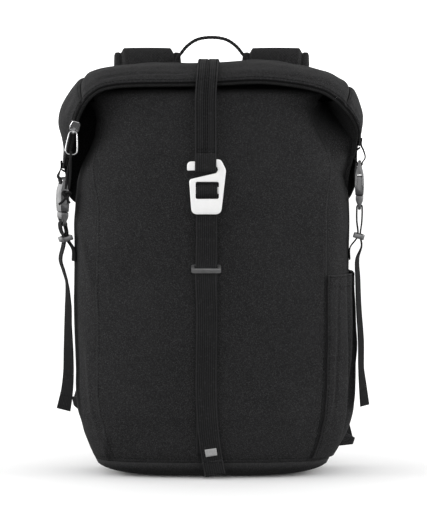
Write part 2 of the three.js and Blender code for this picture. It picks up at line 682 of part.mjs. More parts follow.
/** Base: flat on the floor in the middle, and curved up to the seam all round. */
function basePanel() {
  const segments = 24;
  const rim = outlineRow(sectionHeights[0], 0, 2 * Math.PI, segments).slice(0, -1);
  const shares = [BASE_FLAT, 0.72, 0.86, 0.95, 0.99];
  const rise = (share, p) => {
    const flat = lerp(BASE_FLAT, BASE_FLAT_BACK, smoothstep(p.y / BACK_DEPTH, 0.3, 0.9));
    const out = Math.max(share - flat, 0) / (1 - flat);
    return (BASE_RISE - SEAM_GAP) * (1 - Math.sqrt(Math.max(1 - out * out, 0)));
  };
  const ring = (share, thickness) =>
    rim.map((p) => {
      const inward = thickness / Math.hypot(p.x, p.y);
      const steep = smoothstep(share, 0.7, 1);
      return point(
        p.x * (share - inward * steep),
        p.y * (share - inward * steep),
        rise(share, p) + thickness * (1 - 0.7 * steep),
      );
    });
  const [outer, inner] = [0, CLOTH].map((t) => [...shares, 1].map((share) => ring(share, t)));
  const rings = [...outer, ...inner.reverse()];
  const points = [...rings.flat(), point(0, 0, 0), point(0, 0, CLOTH)];
  const triangles = [];
  for (let i = 0; i < rings.length - 1; i += 1) {
    for (let j = 0; j < segments; j += 1) {
      const k = (j + 1) % segments;
      const [a, b] = [i * segments, (i + 1) * segments];
      triangles.push([a + j, a + k, b + k], [a + j, b + k, b + j]);
    }
  }
  const [floor, top, last] = [points.length - 2, points.length - 1, (rings.length - 1) * segments];
  for (let j = 0; j < segments; j += 1) {
    const k = (j + 1) % segments;
    triangles.push([floor, k, j], [top, last + j, last + k]);
  }
  return closedGeometry(points, triangles);
}

const lipCurve = new THREE.CatmullRomCurve3(
  LIP_LINE.map(({ across, up }) => point(across * HOOD_HALF_WIDTH, 0, up * LIP_HEIGHT)),
  false,
  "centripetal",
);
const lipAt = (k) => lipCurve.getPoint(THREE.MathUtils.clamp(k / (LIP_LINE.length - 1), 0, 1));

/** Outward direction of the hood at a place along its lip. */
function hoodNormal(k) {
  const along = lipAt(k + 0.5).sub(lipAt(k - 0.5)).normalize();
  return point(-along.z, 0, along.x);
}

/** How much of the hood's fullness is left near the tips, from 0 to 1. */
function fullness(k) {
  return smoothstep(k, LEFT_TIP - 0.5, LEFT_TIP + 3.6) * (1 - smoothstep(k, RIGHT_TIP - 4, RIGHT_TIP + 0.2));
}

/** Distance of the lip in front of the widest plane. */
function lipFront(k) {
  const topFront = frontDepth(sectionHeights[sectionHeights.length - 1]) + LIP_OVERHANG;
  const middle = (LEFT_TIP + RIGHT_TIP) / 2;
  const out = Math.abs(k - middle) / (middle - LEFT_TIP);
  return topFront - TIP_LIP_SETBACK * smoothstep(out, 0.3, 1.05);
}

/** Moves a point out of the body where it is nearer to the body's outline than the clearance. */
function keepOutside(p, clearance) {
  if (p.z > sectionHeights[sectionHeights.length - 1] + CLOTH) return p;
  const roundness = p.y < 0 ? FRONT_ROUNDNESS : BACK_ROUNDNESS;
  const wide = halfWidth(p.x, p.z) + clearance;
  const deep = (p.y < 0 ? frontDepth(p.z) : backDepth(p.z)) + clearance;
  const inside = Math.abs(p.x / wide) ** roundness + Math.abs(p.y / deep) ** roundness;
  if (inside >= 1) return p;
  const out = inside ** (-1 / roundness);
  return point(p.x * out, p.y * out, p.z);
}

/** A point of the hood's outer face, at a place along the lip and a row of its profile. */
function hoodPoint(k, row) {
  const [low, share] = [Math.min(Math.floor(row), HOOD_PROFILE.length - 2), row - Math.floor(row)];
  const [a, b] = [HOOD_PROFILE[low], HOOD_PROFILE[low + 1]];
  const t = row >= HOOD_PROFILE.length - 1 ? 1 : share;
  const front = lipFront(k);
  const backEdge = BACK_DEPTH + CLOTH + 1.5;
  const full = fullness(k);
  const lift = HOOD_RISE * lerp(a.lift, b.lift, t) * full - BACK_LAP * lerp(a.drop, b.drop, t);
  const p = lipAt(k).addScaledVector(hoodNormal(k), lift);
  p.y = lerp(-front, backEdge, lerp(a.back, b.back, t));
  const layers = row < MOUTH_ROWS + 0.6 ? 2 : 1;
  return keepOutside(p, layers * (CLOTH + 1.2) + SEAM_GAP);
}

/** Place along the lip of a shoulder seam at a row of the hood's profile. */
function seamPlace(side, row) {
  const { lip, crown } = SHOULDER_SEAMS[side];
  return lerp(lip, crown, Math.min(row / 3.5, 1));
}

/** Place along the lip where an ear ends, at a row of its profile: at its tip in front, lower at the back. */
function earEnd(side, row) {
  const down = smoothstep(row, 3, HOOD_PROFILE.length - 1.6);
  return side === "left" ? lerp(LEFT_TIP, 0, down) : lerp(RIGHT_TIP, LIP_LINE.length - 1, down);
}

const hoodRows = range(HOOD_PROFILE.length - 1);

/** Middle part of the hood, between the two shoulder seams. */
function hoodCentre() {
  const columns = 14;
  return cloth(
    hoodRows.map((row) =>
      range(columns).map((j) => {
        const [left, right] = [seamPlace("left", row), seamPlace("right", row)];
        const gap = 0.02; // of a row of the lip's table, which is about a seam's gap
        return hoodPoint(lerp(left + gap, right - gap, j / columns), row);
      }),
    ),
  );
}

/** Ear at one end of the hood, from its shoulder seam to its tip. */
function ear(side) {
  const columns = 7;
  const gap = 0.02;
  return cloth(
    hoodRows.map((row) =>
      range(columns).map((j) => {
        const [seam, end] = [seamPlace(side, row), earEnd(side, row)];
        return side === "left"
          ? hoodPoint(lerp(end, seam - gap, j / columns), row)
          : hoodPoint(lerp(seam + gap, end, j / columns), row);
      }),
    ),
  );
}

/** Inner layer of the folded mouth, which lies against the hood from tip to tip. */
function mouthLayer() {
  const columns = 18;
  const rows = [0.6, 1.4, 2.6, MOUTH_ROWS];
  const outer = rows.map((row) =>
    range(columns).map((j) => hoodPoint(lerp(LEFT_TIP + 0.15, RIGHT_TIP - 0.15, j / columns), row)),
  );
  const gap = CLOTH + 1.1;
  return sheetBetween(offsetGrid(outer, -gap), offsetGrid(outer, -gap - CLOTH));
}

/** Centre of the zip at a place along the lip, in front of the lip. */
function zipPoint(k) {
  const p = lipAt(k).addScaledVector(hoodNormal(k), -ZIP_WIDTH / 2 - SEAM_GAP);
  p.y = -lipFront(k) - ZIP_THICKNESS / 2 - SEAM_GAP;
  return p;
}

/** Zip: the tape and closed coil along the lip. */
function zip() {
  const route = range(30).map((i) => zipPoint(lerp(LEFT_TIP + 0.6, RIGHT_TIP - 0.3, i / 30)));
  return ribbon(route, (i, along) => along.clone().cross(point(0, 1, 0)), ZIP_WIDTH, ZIP_THICKNESS);
}

const SLIDER_PLACE = LEFT_TIP + 3;
const LUG_RADIUS = LUG_HOLE / 2 + LUG_WALL;

/** Zip slider about its own middle: its plate faces -Y and it travels along Z. */
function zipSlider() {
  const flange = 1.6;
  const reach = TOUCH_GAP + ZIP_THICKNESS * 0.8;
  const body = roundedShape([
    { x: -SLIDER_WIDTH / 2 + 1.5, y: -SLIDER_LENGTH / 2, r: 1.5 },
    { x: SLIDER_WIDTH / 2 - 1.5, y: -SLIDER_LENGTH / 2, r: 1.5 },
    { x: SLIDER_WIDTH / 2, y: 1, r: 2 },
    { x: SLIDER_WIDTH / 2 - 2, y: SLIDER_LENGTH / 2, r: 1.5 },
    { x: -SLIDER_WIDTH / 2 + 2, y: SLIDER_LENGTH / 2, r: 1.5 },
    { x: -SLIDER_WIDTH / 2, y: 1, r: 2 },
  ]);
  const sides = [-1, 1].map((side) =>
    boxAt(
      [flange, reach, SLIDER_LENGTH * 0.62],
      [side * (SLIDER_WIDTH / 2 - 0.8), SLIDER_PLATE / 2 + reach / 2 - 0.1, 0],
    ),
  );
  const lug = new THREE.Shape();
  lug.absarc(0, 0, LUG_RADIUS, 0, 2 * Math.PI);
  const hole = new THREE.Path();
  hole.absarc(0, 0, LUG_HOLE / 2, 0, 2 * Math.PI);
  lug.holes.push(hole);
  const ring = new THREE.ExtrudeGeometry(lug, { depth: LUG_WIDTH, curveSegments: 4, bevelEnabled: false });
  ring.translate(0, 0, -LUG_WIDTH / 2).rotateY(Math.PI / 2);
  ring.translate(0, -SLIDER_PLATE / 2 - LUG_RADIUS + 0.6, LUG_OFFSET);
  return joinAndCut([plate(body, SLIDER_PLATE, 0.4, 2), ...sides, ring]);
}

const LUG_OFFSET = -4.5; // the lug's hole, along the slider's travel from its middle

/** Puller: a closed wire drop, hanging from the middle of its top bar. */
function zipPuller() {
  const [top, bottom] = [PULLER_TOP_WIDTH / 2, PULLER_BOTTOM_WIDTH / 2];
  const corners = [
    [0, 0], [top * 0.6, 0], [top, -1.6], [top + 1.2, -8], [bottom - 0.6, -PULLER_LENGTH + 7],
    [bottom - 0.8, -PULLER_LENGTH + 3], [bottom - 3.4, -PULLER_LENGTH + 0.3], [0, -PULLER_LENGTH],
  ];
  const mirrored = corners.slice(1, -1).reverse().map(([x, z]) => [-x, z]);
  const curve = new THREE.CatmullRomCurve3(
    [...corners, ...mirrored].map(([x, z]) => point(x, 0, z)),
    true,
    "centripetal",
  );
  return new THREE.TubeGeometry(curve, 26, PULLER_WIRE / 2, 5, true);
}

/** Loop of cord over the puller's lower bar, about the middle of that bar. */
function pullCord() {
  const top = CORD / 2 + PULLER_WIRE / 2 + TOUCH_GAP;
  const route = CORD_ROUTE.map(({ side, front, drop }) => point(side, -front, top - drop));
  const circle = new THREE.Shape();
  circle.absarc(0, 0, CORD / 2, 0, 2 * Math.PI);
  return new THREE.ExtrudeGeometry(circle, {
    steps: 23,
    curveSegments: 4,
    extrudePath: new THREE.CatmullRomCurve3(route, false, "centripetal"),
  });
}

/** Knot below the cord's loop, with its two short ends, about the middle of its top. */
function cordKnot() {
  const ball = new THREE.SphereGeometry(0.5, 8, 6);
  ball.scale(KNOT_WIDTH, CORD * 2.6, KNOT_HEIGHT * 0.72).translate(0, 0, -KNOT_HEIGHT * 0.62);
  const collar = new THREE.SphereGeometry(0.5, 8, 4);
  collar.scale(KNOT_WIDTH * 0.72, CORD * 2.3, KNOT_HEIGHT * 0.62).translate(0.5, 0, -KNOT_HEIGHT * 0.31);
  const tails = [
    { lean: 38, long: KNOT_TAIL * 1.1 },
    { lean: -34, long: KNOT_TAIL * 0.6 },
  ].map(({ lean, long }) => {
    const tail = new THREE.CylinderGeometry(CORD / 2, CORD / 2, long, 6);
    tail.rotateX(Math.PI / 2).translate(0, 0, -long / 2);
    return tail.rotateY(degrees(lean)).translate(0, 0, -KNOT_HEIGHT * 0.78);
  });
  return joinAndCut([ball, collar, ...tails]);
}

/** Route of the centre strap's upper part over the hood, in the plane across the bag, pushed out by a distance. */
function hoodRoute(x, out) {
  const k = (LEFT_TIP + RIGHT_TIP) / 2 + 1;
  const grid = range((HOOD_PROFILE.length - 1) * 2).map((i) => {
    return [k - 0.4, k, k + 0.4].map((place) => hoodPoint(place, i / 2));
  });
  return offsetGrid(grid, out).map((row) => point(x, row[1].y, row[1].z));
}

const HOOK_PLANE = -(FRONT_DEPTH + HOOK_STANDOFF); // middle plane of the hook
const ARM_HEIGHT = HOOK_CENTRE + HOOK_HEIGHT * 0.38; // middle of the hook's upper arm
const ARM_THICK = HOOK_HEIGHT * 0.17;

/** Upper strap: sewn double, from the back of the hood over its crown and down to its loop round the hook's arm. */
function hookStrap() {
  const thickness = 2 * WEBBING;
  const over = hoodRoute(HOOK_SIDE, thickness / 2 + TOUCH_GAP + 0.9).reverse();
  over.slice(-3).forEach((p, i) => p.setY(p.y - 0.9 * (i + 1)));
  const loopOut = HOOK_THICKNESS / 2 + TOUCH_GAP + WEBBING / 2;
  const loopDown = ARM_THICK / 2 + TOUCH_GAP + WEBBING / 2;
  const seamTop = ARM_HEIGHT + ARM_THICK / 2 + 10;
  const down = [
    point(HOOK_STRAP_SIDE, HOOK_PLANE + 2, lerp(LIP_HEIGHT, seamTop, 0.22)),
    point(HOOK_STRAP_SIDE, HOOK_PLANE, lerp(LIP_HEIGHT, seamTop, 0.6)),
    point(HOOK_STRAP_SIDE, HOOK_PLANE, seamTop),
  ];
  const ride = over.slice(1).map((p, i, all) => p.setX(lerp(HOOK_SIDE + 4, HOOK_STRAP_SIDE + 1, i / all.length)));
  const strap = ribbon(smoothRoute([...ride, ...down], 27), () => point(1, 0, 0), STRAP_WIDTH, thickness);
  const loop = new THREE.Shape();
  const outer = [loopOut + WEBBING / 2, loopDown + WEBBING / 2];
  const inner = [loopOut - WEBBING / 2, loopDown - WEBBING / 2];
  const top = seamTop - ARM_HEIGHT + 1;
  loop.moveTo(-thickness / 2, top);
  loop.quadraticCurveTo(-outer[0], top * 0.8, -outer[0], top * 0.35);
  loop.lineTo(-outer[0], -outer[1] * 0.5);
  loop.quadraticCurveTo(-outer[0], -outer[1], 0, -outer[1]);
  loop.quadraticCurveTo(outer[0], -outer[1], outer[0], -outer[1] * 0.5);
  loop.lineTo(outer[0], top * 0.35);
  loop.quadraticCurveTo(outer[0], top * 0.8, thickness / 2, top);
  const hole = new THREE.Path();
  hole.moveTo(0, top - 3.5);
  hole.quadraticCurveTo(-inner[0], top * 0.72, -inner[0], top * 0.3);
  hole.lineTo(-inner[0], -inner[1]);
  hole.lineTo(inner[0], -inner[1]);
  hole.lineTo(inner[0], top * 0.3);
  hole.quadraticCurveTo(inner[0], top * 0.72, 0, top - 3.5);
  loop.holes.push(hole);
  const wrap = new THREE.ExtrudeGeometry(loop, { depth: STRAP_WIDTH, curveSegments: 4, bevelEnabled: false });
  wrap.translate(0, 0, -STRAP_WIDTH / 2).rotateX(Math.PI / 2).rotateZ(Math.PI / 2);
  wrap.translate(HOOK_STRAP_SIDE, HOOK_PLANE, ARM_HEIGHT);
  return joinAndCut([strap, wrap]);
}

/** Open hook: a plate with an arm above a tapering gap, and a slot with a recessed bar for the lower strap. */
function openHook() {
  const [w, h] = [HOOK_WIDTH, HOOK_HEIGHT];
  const arm = roundedShape([
    { x: -0.516 * w, y: 0.296 * h, r: 1.5 },
    { x: 0.16 * w, y: 0.296 * h, r: 1 },
    { x: 0.235 * w, y: 0.372 * h, r: 1.5 },
    { x: 0.28 * w, y: 0.315 * h, r: 1.4 },
    { x: 0.235 * w, y: 0.25 * h, r: 1.4 },
    { x: -0.466 * w, y: 0.135 * h, r: 3.5 },
    { x: -0.4 * w, y: -0.5 * h, r: 7 },
    { x: 0.355 * w, y: -0.5 * h, r: 7 },
    { x: 0.484 * w, y: 0.31 * h, r: 3 },
    { x: 0.35 * w, y: 0.5 * h, r: 4 },
    { x: 0.17 * w, y: 0.5 * h, r: 1.2 },
    { x: 0.13 * w, y: 0.462 * h, r: 1.2 },
    { x: -0.516 * w, y: 0.462 * h, r: 5.5 },
  ]);
  const slot = roundedRectangle(STRAP_WIDTH + 2.4, SLOT_HEIGHT, 2.4);
  const cut = plate(slot, HOOK_THICKNESS * 2, 0, 2).translate(0, 0, SLOT_MIDDLE);
  const body = solidFrom(plate(arm, HOOK_THICKNESS, 0.7, 2)).subtract(solidFrom(cut));
  const bar = boxAt([STRAP_WIDTH + 3, HOOK_BAR, BAR_HEIGHT], [0, HOOK_THICKNESS / 2 - HOOK_BAR / 2, SLOT_MIDDLE]);
  return joinAndCut([body, bar]);
}

const SLOT_HEIGHT = 20;
const SLOT_MIDDLE = -0.065 * HOOK_HEIGHT;
const BAR_HEIGHT = 8;

/** Lower strap: sewn on near the base, up behind the hook, round its bar and down in front to the loose end. */
function lowerStrap() {
  const x = HOOK_SIDE - 0.6;
  const facing = (z, out) => -frontDepth(Math.max(z, sectionHeights[0])) - out;
  const barBack = HOOK_PLANE + HOOK_THICKNESS / 2;
  const barFront = barBack - HOOK_BAR;
  const bar = HOOK_CENTRE + SLOT_MIDDLE;
  const away = TOUCH_GAP + WEBBING / 2;
  const rear = [
    point(x, facing(STRAP_ANCHOR_HEIGHT, away + 0.7), STRAP_ANCHOR_HEIGHT),
    point(x, facing(60, away + 0.7), 60),
    point(x, facing(110, away + 0.4), 110),
    point(x, facing(180, away + 0.7), 180),
    point(x, facing(KEEPER_HEIGHT, KEEPER_OUT - 1.2), KEEPER_HEIGHT - 6),
    point(x, facing(KEEPER_HEIGHT, KEEPER_OUT - 1), KEEPER_HEIGHT + 8),
    point(x, barBack + 2.1 + away, bar - 22),
    point(x, barBack + away + 1.2, bar - 3),
    point(x, barBack + away + 0.8, bar + BAR_HEIGHT / 2),
  ];
  const round = [
    point(x, (barBack + barFront) / 2, bar + BAR_HEIGHT / 2 + away + 0.8),
    point(x, barFront - away - 0.2, bar + BAR_HEIGHT / 2 - 0.6),
    point(x, barFront - away - 0.2, bar - BAR_HEIGHT / 2 + 0.6),
    point(x, barFront + 0.5, bar - BAR_HEIGHT / 2 - away - 0.9),
    point(x, HOOK_PLANE + HOOK_THICKNESS / 2 + away, bar - BAR_HEIGHT / 2 - 4.2),
  ];
  const hang = [
    point(x, barBack + away, bar - 19),
    point(x - 0.6, facing(KEEPER_HEIGHT, KEEPER_OUT + 1), KEEPER_HEIGHT + 10),
    ...TAIL_SWAY.map(({ up, aside }) =>
      point(
        HOOK_SIDE + aside,
        facing(up * KEEPER_HEIGHT, lerp(TAIL_OUT, KEEPER_OUT + 1, smoothstep(up, 0.7, 1))),
        Math.max(up * KEEPER_HEIGHT, STRAP_END_HEIGHT),
      ),
    ),
  ];
  return { rear, round, hang };
}

const lower = lowerStrap();

/** The lower strap as one ribbon. */
function lowerStrapGeometry() {
  const rear = smoothRoute([...lower.rear, ...lower.round], 38);
  const hang = smoothRoute(lower.hang, 18);
  return ribbon([...rear, ...hang], () => point(1, 0, 0), STRAP_WIDTH, WEBBING);
}

/** A flat piece on the front of the centre strap's loose end, between two heights. */
function onTail(width, thickness, high, low) {
  const hang = smoothRoute(lower.hang, 120).filter((p) => p.z < high && p.z > low);
  const out = (WEBBING + thickness) / 2 + TOUCH_GAP + 0.3;
  const steps = 4;
  const route = range(steps).map((i) => hang[Math.round((i / steps) * (hang.length - 1))]);
  const along = travel(route);
  const moved = route.map((p, i) => p.clone().addScaledVector(point(1, 0, 0).cross(along[i]).normalize(), -out));
  return ribbon(moved, () => point(1, 0, 0), width, thickness);
}

/** Keeper: a flat wire frame round two layers of a strap. Its front bar is low and its back bar high. */
function keeper(web, tilt, opening) {
  const outside = roundedRectangle(web + 10, 2 * KEEPER_WIRE + opening, 3);
  const inside = roundedRectangle(web + 3.4, opening, 1.2);
  outside.holes.push(inside);
  return plate(outside, KEEPER_RISE, 0, 2).rotateX(degrees(tilt));
}

/** Buckle socket: length along Z from its mouth at 0, width along Y, thickness along X. */
function buckleSocket() {
  const [w, t, long] = [BUCKLE_WIDTH, BUCKLE_THICKNESS, SOCKET_LENGTH];
  const outline = roundedShape([
    { x: -w / 2 + 1, y: 0, r: 1.5 },
    { x: w / 2 - 1, y: 0, r: 1.5 },
    { x: w / 2, y: long * 0.35, r: 4 },
    { x: w / 2 - 1.5, y: long, r: 3.5 },
    { x: -w / 2 + 1.5, y: long, r: 3.5 },
    { x: -w / 2, y: long * 0.35, r: 4 },
  ]);
  const side = roundedShape([
    { x: -t / 2 + 0.8, y: 0, r: 1 },
    { x: t / 2 - 0.8, y: 0, r: 1 },
    { x: t / 2, y: long * 0.3, r: 3 },
    { x: t / 2 - 0.6, y: long * 0.62, r: 4 },
    { x: BUCKLE_BAR / 2, y: long - BUCKLE_BAR - 1, r: 1.5 },
    { x: BUCKLE_BAR / 2, y: long, r: 1.2 },
    { x: -BUCKLE_BAR / 2, y: long, r: 1.2 },
    { x: -BUCKLE_BAR / 2, y: long - BUCKLE_BAR - 1, r: 1.5 },
    { x: -t / 2 + 0.6, y: long * 0.62, r: 4 },
    { x: -t / 2, y: long * 0.3, r: 3 },
  ]);
  const face = solidFrom(plate(outline, t + 2, 0, 2).rotateZ(Math.PI / 2));
  const edge = solidFrom(plate(side, w + 2, 0, 2));
  const body = face.intersect(edge);
  const cavity = boxAt([t - 2 * BUCKLE_WALL, w - 2 * BUCKLE_WALL - 2, long * 0.62], [0, 0, long * 0.31 - 0.5]);
  const window = plate(roundedRectangle(t - 3.4, long * 0.4, 3), w + 4, 0, 2).translate(0, 0, long * 0.4);
  const slot = boxAt([t + 4, SIDE_WEB + 1.6, BUCKLE_SLOT], [0, 0, long - BUCKLE_BAR - BUCKLE_SLOT / 2]);
  return joinAndCut([body], [cavity, window, slot]);
}

/** Buckle plug: a webbing frame below the socket's mouth, with two sprung prongs and a guide inside the socket. */
function bucklePlug() {
  const [w, t, long] = [BUCKLE_WIDTH, BUCKLE_THICKNESS, PLUG_LENGTH];
  const top = -TOUCH_GAP;
  const side = roundedShape([
    { x: -BUCKLE_BAR / 2, y: top - long, r: 1.2 },
    { x: BUCKLE_BAR / 2, y: top - long, r: 1.2 },
    { x: BUCKLE_BAR / 2, y: top - long + BUCKLE_BAR + 1, r: 1.5 },
    { x: t / 2 - 1, y: top - long * 0.3, r: 1.5 },
    { x: t / 2 - 1.2, y: top, r: 0.8 },
    { x: -t / 2 + 1.2, y: top, r: 0.8 },
    { x: -t / 2 + 1, y: top - long * 0.3, r: 1.5 },
    { x: -BUCKLE_BAR / 2, y: top - long + BUCKLE_BAR + 1, r: 1.5 },
  ]);
  const outline = roundedShape([
    { x: -w / 2 + 2.4, y: top - long, r: 3.5 },
    { x: w / 2 - 2.4, y: top - long, r: 3.5 },
    { x: w / 2 - 0.8, y: top, r: 1.5 },
    { x: -w / 2 + 0.8, y: top, r: 1.5 },
  ]);
  const face = solidFrom(plate(outline, t + 2, 0, 2).rotateZ(Math.PI / 2));
  const frame = face.intersect(solidFrom(plate(side, w + 2, 0, 2)));
  const slotMiddle = top - long + BUCKLE_BAR + BUCKLE_SLOT / 2;
  const slot = boxAt([t + 4, SIDE_WEB + 1.6, BUCKLE_SLOT], [0, 0, slotMiddle]);
  const prongThick = t - 2 * BUCKLE_WALL - 2 * TOUCH_GAP;
  const reach = w / 2 - BUCKLE_WALL - 1 - TOUCH_GAP;
  const prongs = [-1, 1].map((sign) => {
    const arm = roundedShape([
      { x: sign * (reach - 3), y: top - 1, r: 0.5 },
      { x: sign * reach, y: top - 1, r: 0.5 },
      { x: sign * reach, y: SOCKET_LENGTH * 0.56, r: 2 },
      { x: sign * (reach - 4.5), y: SOCKET_LENGTH * 0.56, r: 1 },
    ]);
    return plate(arm, prongThick, 0, 2).rotateZ(Math.PI / 2);
  });
  const guide = boxAt([prongThick, 4, SOCKET_LENGTH * 0.5], [0, 0, top + SOCKET_LENGTH * 0.25 - 0.5]);
  return joinAndCut([frame, ...prongs, guide], [slot]);
}

/** The three routes of a side strap, with the place and turn of its buckle. */
function sideStrap(name) {
  const { side, tip, top, out, front, turn, loopOut, keeperUp, keeperOut, anchorUp, anchorOut, tail } =
    SIDE_STRAPS[name];
  const x = (o) => side * (o - out);
  const place = (o, up, f) => point(x(o), front - f, up * LIP_HEIGHT);
  const buckleTop = top * LIP_HEIGHT;
  const mouth = buckleTop - SOCKET_LENGTH + BUCKLE_BAR / 2;
  const plugBar = mouth - TOUCH_GAP - PLUG_LENGTH + BUCKLE_BAR / 2;
  const wrap = BUCKLE_BAR * 0.62 + TOUCH_GAP + WEBBING / 2;
  const keeperZ = keeperUp * LIP_HEIGHT;
  const run = [
    point(x(anchorOut), 0, anchorUp * LIP_HEIGHT),
    point(x(anchorOut + 0.3), 0, lerp(anchorUp * LIP_HEIGHT, keeperZ, 0.5)),
    point(x(keeperOut - 1.6), 0, keeperZ),
    point(x(lerp(keeperOut, out, 0.6) - 3), 0, lerp(keeperZ, plugBar, 0.55)),
    point(x(out - wrap), 0, plugBar - 1.5),
    point(x(out - wrap * 0.85), 0, plugBar + wrap * 0.8),
    point(x(out), 0, plugBar + wrap),
    point(x(out + wrap * 0.85), 0, plugBar + wrap * 0.8),
    point(x(out + wrap), 0, plugBar - 1.5),
    point(x(lerp(keeperOut, out, 0.6) + 3), 0, lerp(keeperZ, plugBar, 0.5)),
    point(x(keeperOut + 1.6), 0, keeperZ + 1),
    ...tail.map((row) => place(row.out, row.up, row.front)),
  ];
  const turns = [...Array(11).fill(0), ...tail.map((row) => row.turn - turn)];
  return { side, tip, out, front, turn, loopOut, buckleTop, mouth, wrap, keeperZ, keeperOut, x, run, turns };
}

/** Lower webbing of a side strap, as one ribbon from the bag round the plug's bar to its loose end. */
function sideWebbing(name) {
  const { side, run, turns } = sideStrap(name);
  const steps = (run.length - 1) * 2;
  const route = smoothRoute(run, steps);
  const across = (i) => {
    const k = Math.min((i / steps) * (run.length - 1), run.length - 1.001);
    const twist = lerp(turns[Math.floor(k)], turns[Math.floor(k) + 1], k % 1);
    const angle = degrees(twist) * side;
    return point(Math.sin(angle), Math.cos(angle), 0);
  };
  return ribbon(route, across, SIDE_WEB, WEBBING);
}

/** Upper webbing loop that joins an ear's tip to the buckle socket's bar. */
function earLoop(name) {
  const { side, tip, out, turn, loopOut, buckleTop, wrap, x } = sideStrap(name);
  const tipHeight = tip * LIP_HEIGHT;
  const bar = buckleTop - BUCKLE_BAR / 2;
  const wide = (tipHeight - bar) * 0.16;
  const route = [
    point(x(loopOut), 0, tipHeight + 9),
    point(x(lerp(loopOut, out + 1.5, 0.8)), 0, tipHeight + 0.8),
    point(x(out + wide + 1.4), 0, lerp(bar, tipHeight, 0.7)),
    point(x(out + wide + wrap), 0, lerp(bar, tipHeight, 0.3)),
    point(x(out + wrap), 0, bar + 0.6),
    point(x(out + wrap * 0.8), 0, bar - wrap * 0.8),
    point(x(out), 0, bar - wrap),
    point(x(out - wrap * 0.8), 0, bar - wrap * 0.8),
    point(x(out - wrap), 0, bar + 0.6),
    point(x(out - wrap - wide), 0, lerp(bar, tipHeight, 0.3)),
    point(x(out - wide - 0.6), 0, lerp(bar, tipHeight, 0.7)),
    point(x(out + 0.6), 0, tipHeight - 2.4),
  ];
  const steps = 24;
  const across = (i) => {
    const sewn = 1 - smoothstep(i, 2, 9) * (1 - smoothstep(i, steps - 7, steps));
    const angle = degrees(-turn * sewn) * side;
    return point(Math.sin(angle), Math.cos(angle), 0);
  };
  return ribbon(smoothRoute(route, steps), across, SIDE_WEB, WEBBING);
}

/** Side pocket: a pleated sheet that stands off the side panel and is open at the top. */
function sidePocket() {
  const [columns, levels] = [14, 7];
  const rows = range(levels).map((i) => {
    const z = lerp(POCKET_FLOOR, POCKET_HEIGHT, i / levels);
    const row = outlineRow(z, frontSeamAngle(z), -BACK_SEAM_ANGLE, columns);
    return row;
  });
  const standoff = (i, j) => {
    const [up, round] = [i / levels, j / columns];
    const snug = lerp(1, POCKET_TOP, smoothstep(up, 0.6, 1));
    const belly = Math.sin(Math.PI * round) ** 0.6 * smoothstep(up, -0.02, 0.2) * snug;
    const pleats = POCKET_PLEATS.reduce((sum, { at, depth, spread, lean }) => {
      const aside = (round - at + lean * (1 - up)) / spread;
      return sum + depth * Math.exp(-aside * aside) * smoothstep(up, 0.02, 0.35);
    }, 0);
    return CLOTH + 1.1 + POCKET_BULGE * Math.max(belly - pleats * belly, 0);
  };
  return cloth(offsetGrid(rows, standoff));
}

/** A back pad with softened edges. */
function backPad() {
  return plate(roundedRectangle(PAD_WIDTH, PAD_HEIGHT, 18), PAD_THICKNESS, 3.5, 4);
}

/** Shoulder strap: a padded band that rises over the hood's back and hangs down behind the bag. */
function shoulderStrap(side) {
  const place = ({ across, back, up }) =>
    point(side * across * BAG_HALF_WIDTH, back * SHOULDER_BACK, up * SHOULDER_TOP);
  const steps = 18;
  const route = smoothRoute(SHOULDER_ROUTE.map(place), steps);
  const along = travel(route);
  const keyed = SHOULDER_ROUTE.map((row, i) => ({ ...row, at: i / (SHOULDER_ROUTE.length - 1) }));
  const rings = route.map((p, i) => {
    const wide = (SHOULDER_WIDTH / 2) * tableAt(keyed, "at", "wide", i / steps);
    const thick = (SHOULDER_THICKNESS / 2) * tableAt(keyed, "at", "thick", i / steps);
    const across = point(1, 0, 0).addScaledVector(along[i], -along[i].x).normalize();
    const out = along[i].clone().cross(across).normalize();
    const corners = [[-1, -0.4], [-0.86, -1], [0.86, -1], [1, -0.4], [1, 0.4], [0.86, 1], [-0.86, 1], [-1, 0.4]];
    return corners.map(([w, t]) =>
      p.clone().addScaledVector(across, w * wide).addScaledVector(out, t * thick),
    );
  });
  return ringSolid(rings);
}

const lastShoulder = SHOULDER_ROUTE[SHOULDER_ROUTE.length - 1];
const beforeShoulder = SHOULDER_ROUTE[SHOULDER_ROUTE.length - 2];

/** Foot of a shoulder strap, and the direction in which it points. */
function shoulderFoot(side) {
  const at = ({ across, back, up }) =>
    point(side * across * BAG_HALF_WIDTH, back * SHOULDER_BACK, up * SHOULDER_TOP);
  const foot = at(lastShoulder);
  return { foot, down: foot.clone().sub(at(beforeShoulder)).normalize() };
}

/** Adjuster at the foot of a shoulder strap: a flat frame with two slots. */
function adjuster(side) {
  const { foot, down } = shoulderFoot(side);
  const frame = plate(roundedRectangle(ADJUSTER_WIDTH, ADJUSTER_LENGTH, 3), ADJUSTER_THICKNESS, 0.8, 2);
  const slots = [-1, 1].map((sign) =>
    boxAt([SIDE_WEB + 3, ADJUSTER_THICKNESS + 4, 8], [0, 0, sign * 6.6]),
  );
  const made = joinAndCut([frame], slots);
  const across = point(1, 0, 0).addScaledVector(down, -down.x).normalize();
  const basis = new THREE.Matrix4().makeBasis(across, across.clone().cross(down), down.clone().negate());
  const middle = foot.clone().addScaledVector(down, ADJUSTER_LENGTH / 2 + TOUCH_GAP);
  return made.applyMatrix4(basis).translate(middle.x, middle.y, middle.z);
}

const WINGS = {
  left: { side: -1, low: 0.085, high: 0.19, tipUp: 0.175, tipOut: 15 },
  right: { side: 1, low: 0.045, high: 0.12, tipUp: 0.055, tipOut: 22 },
};

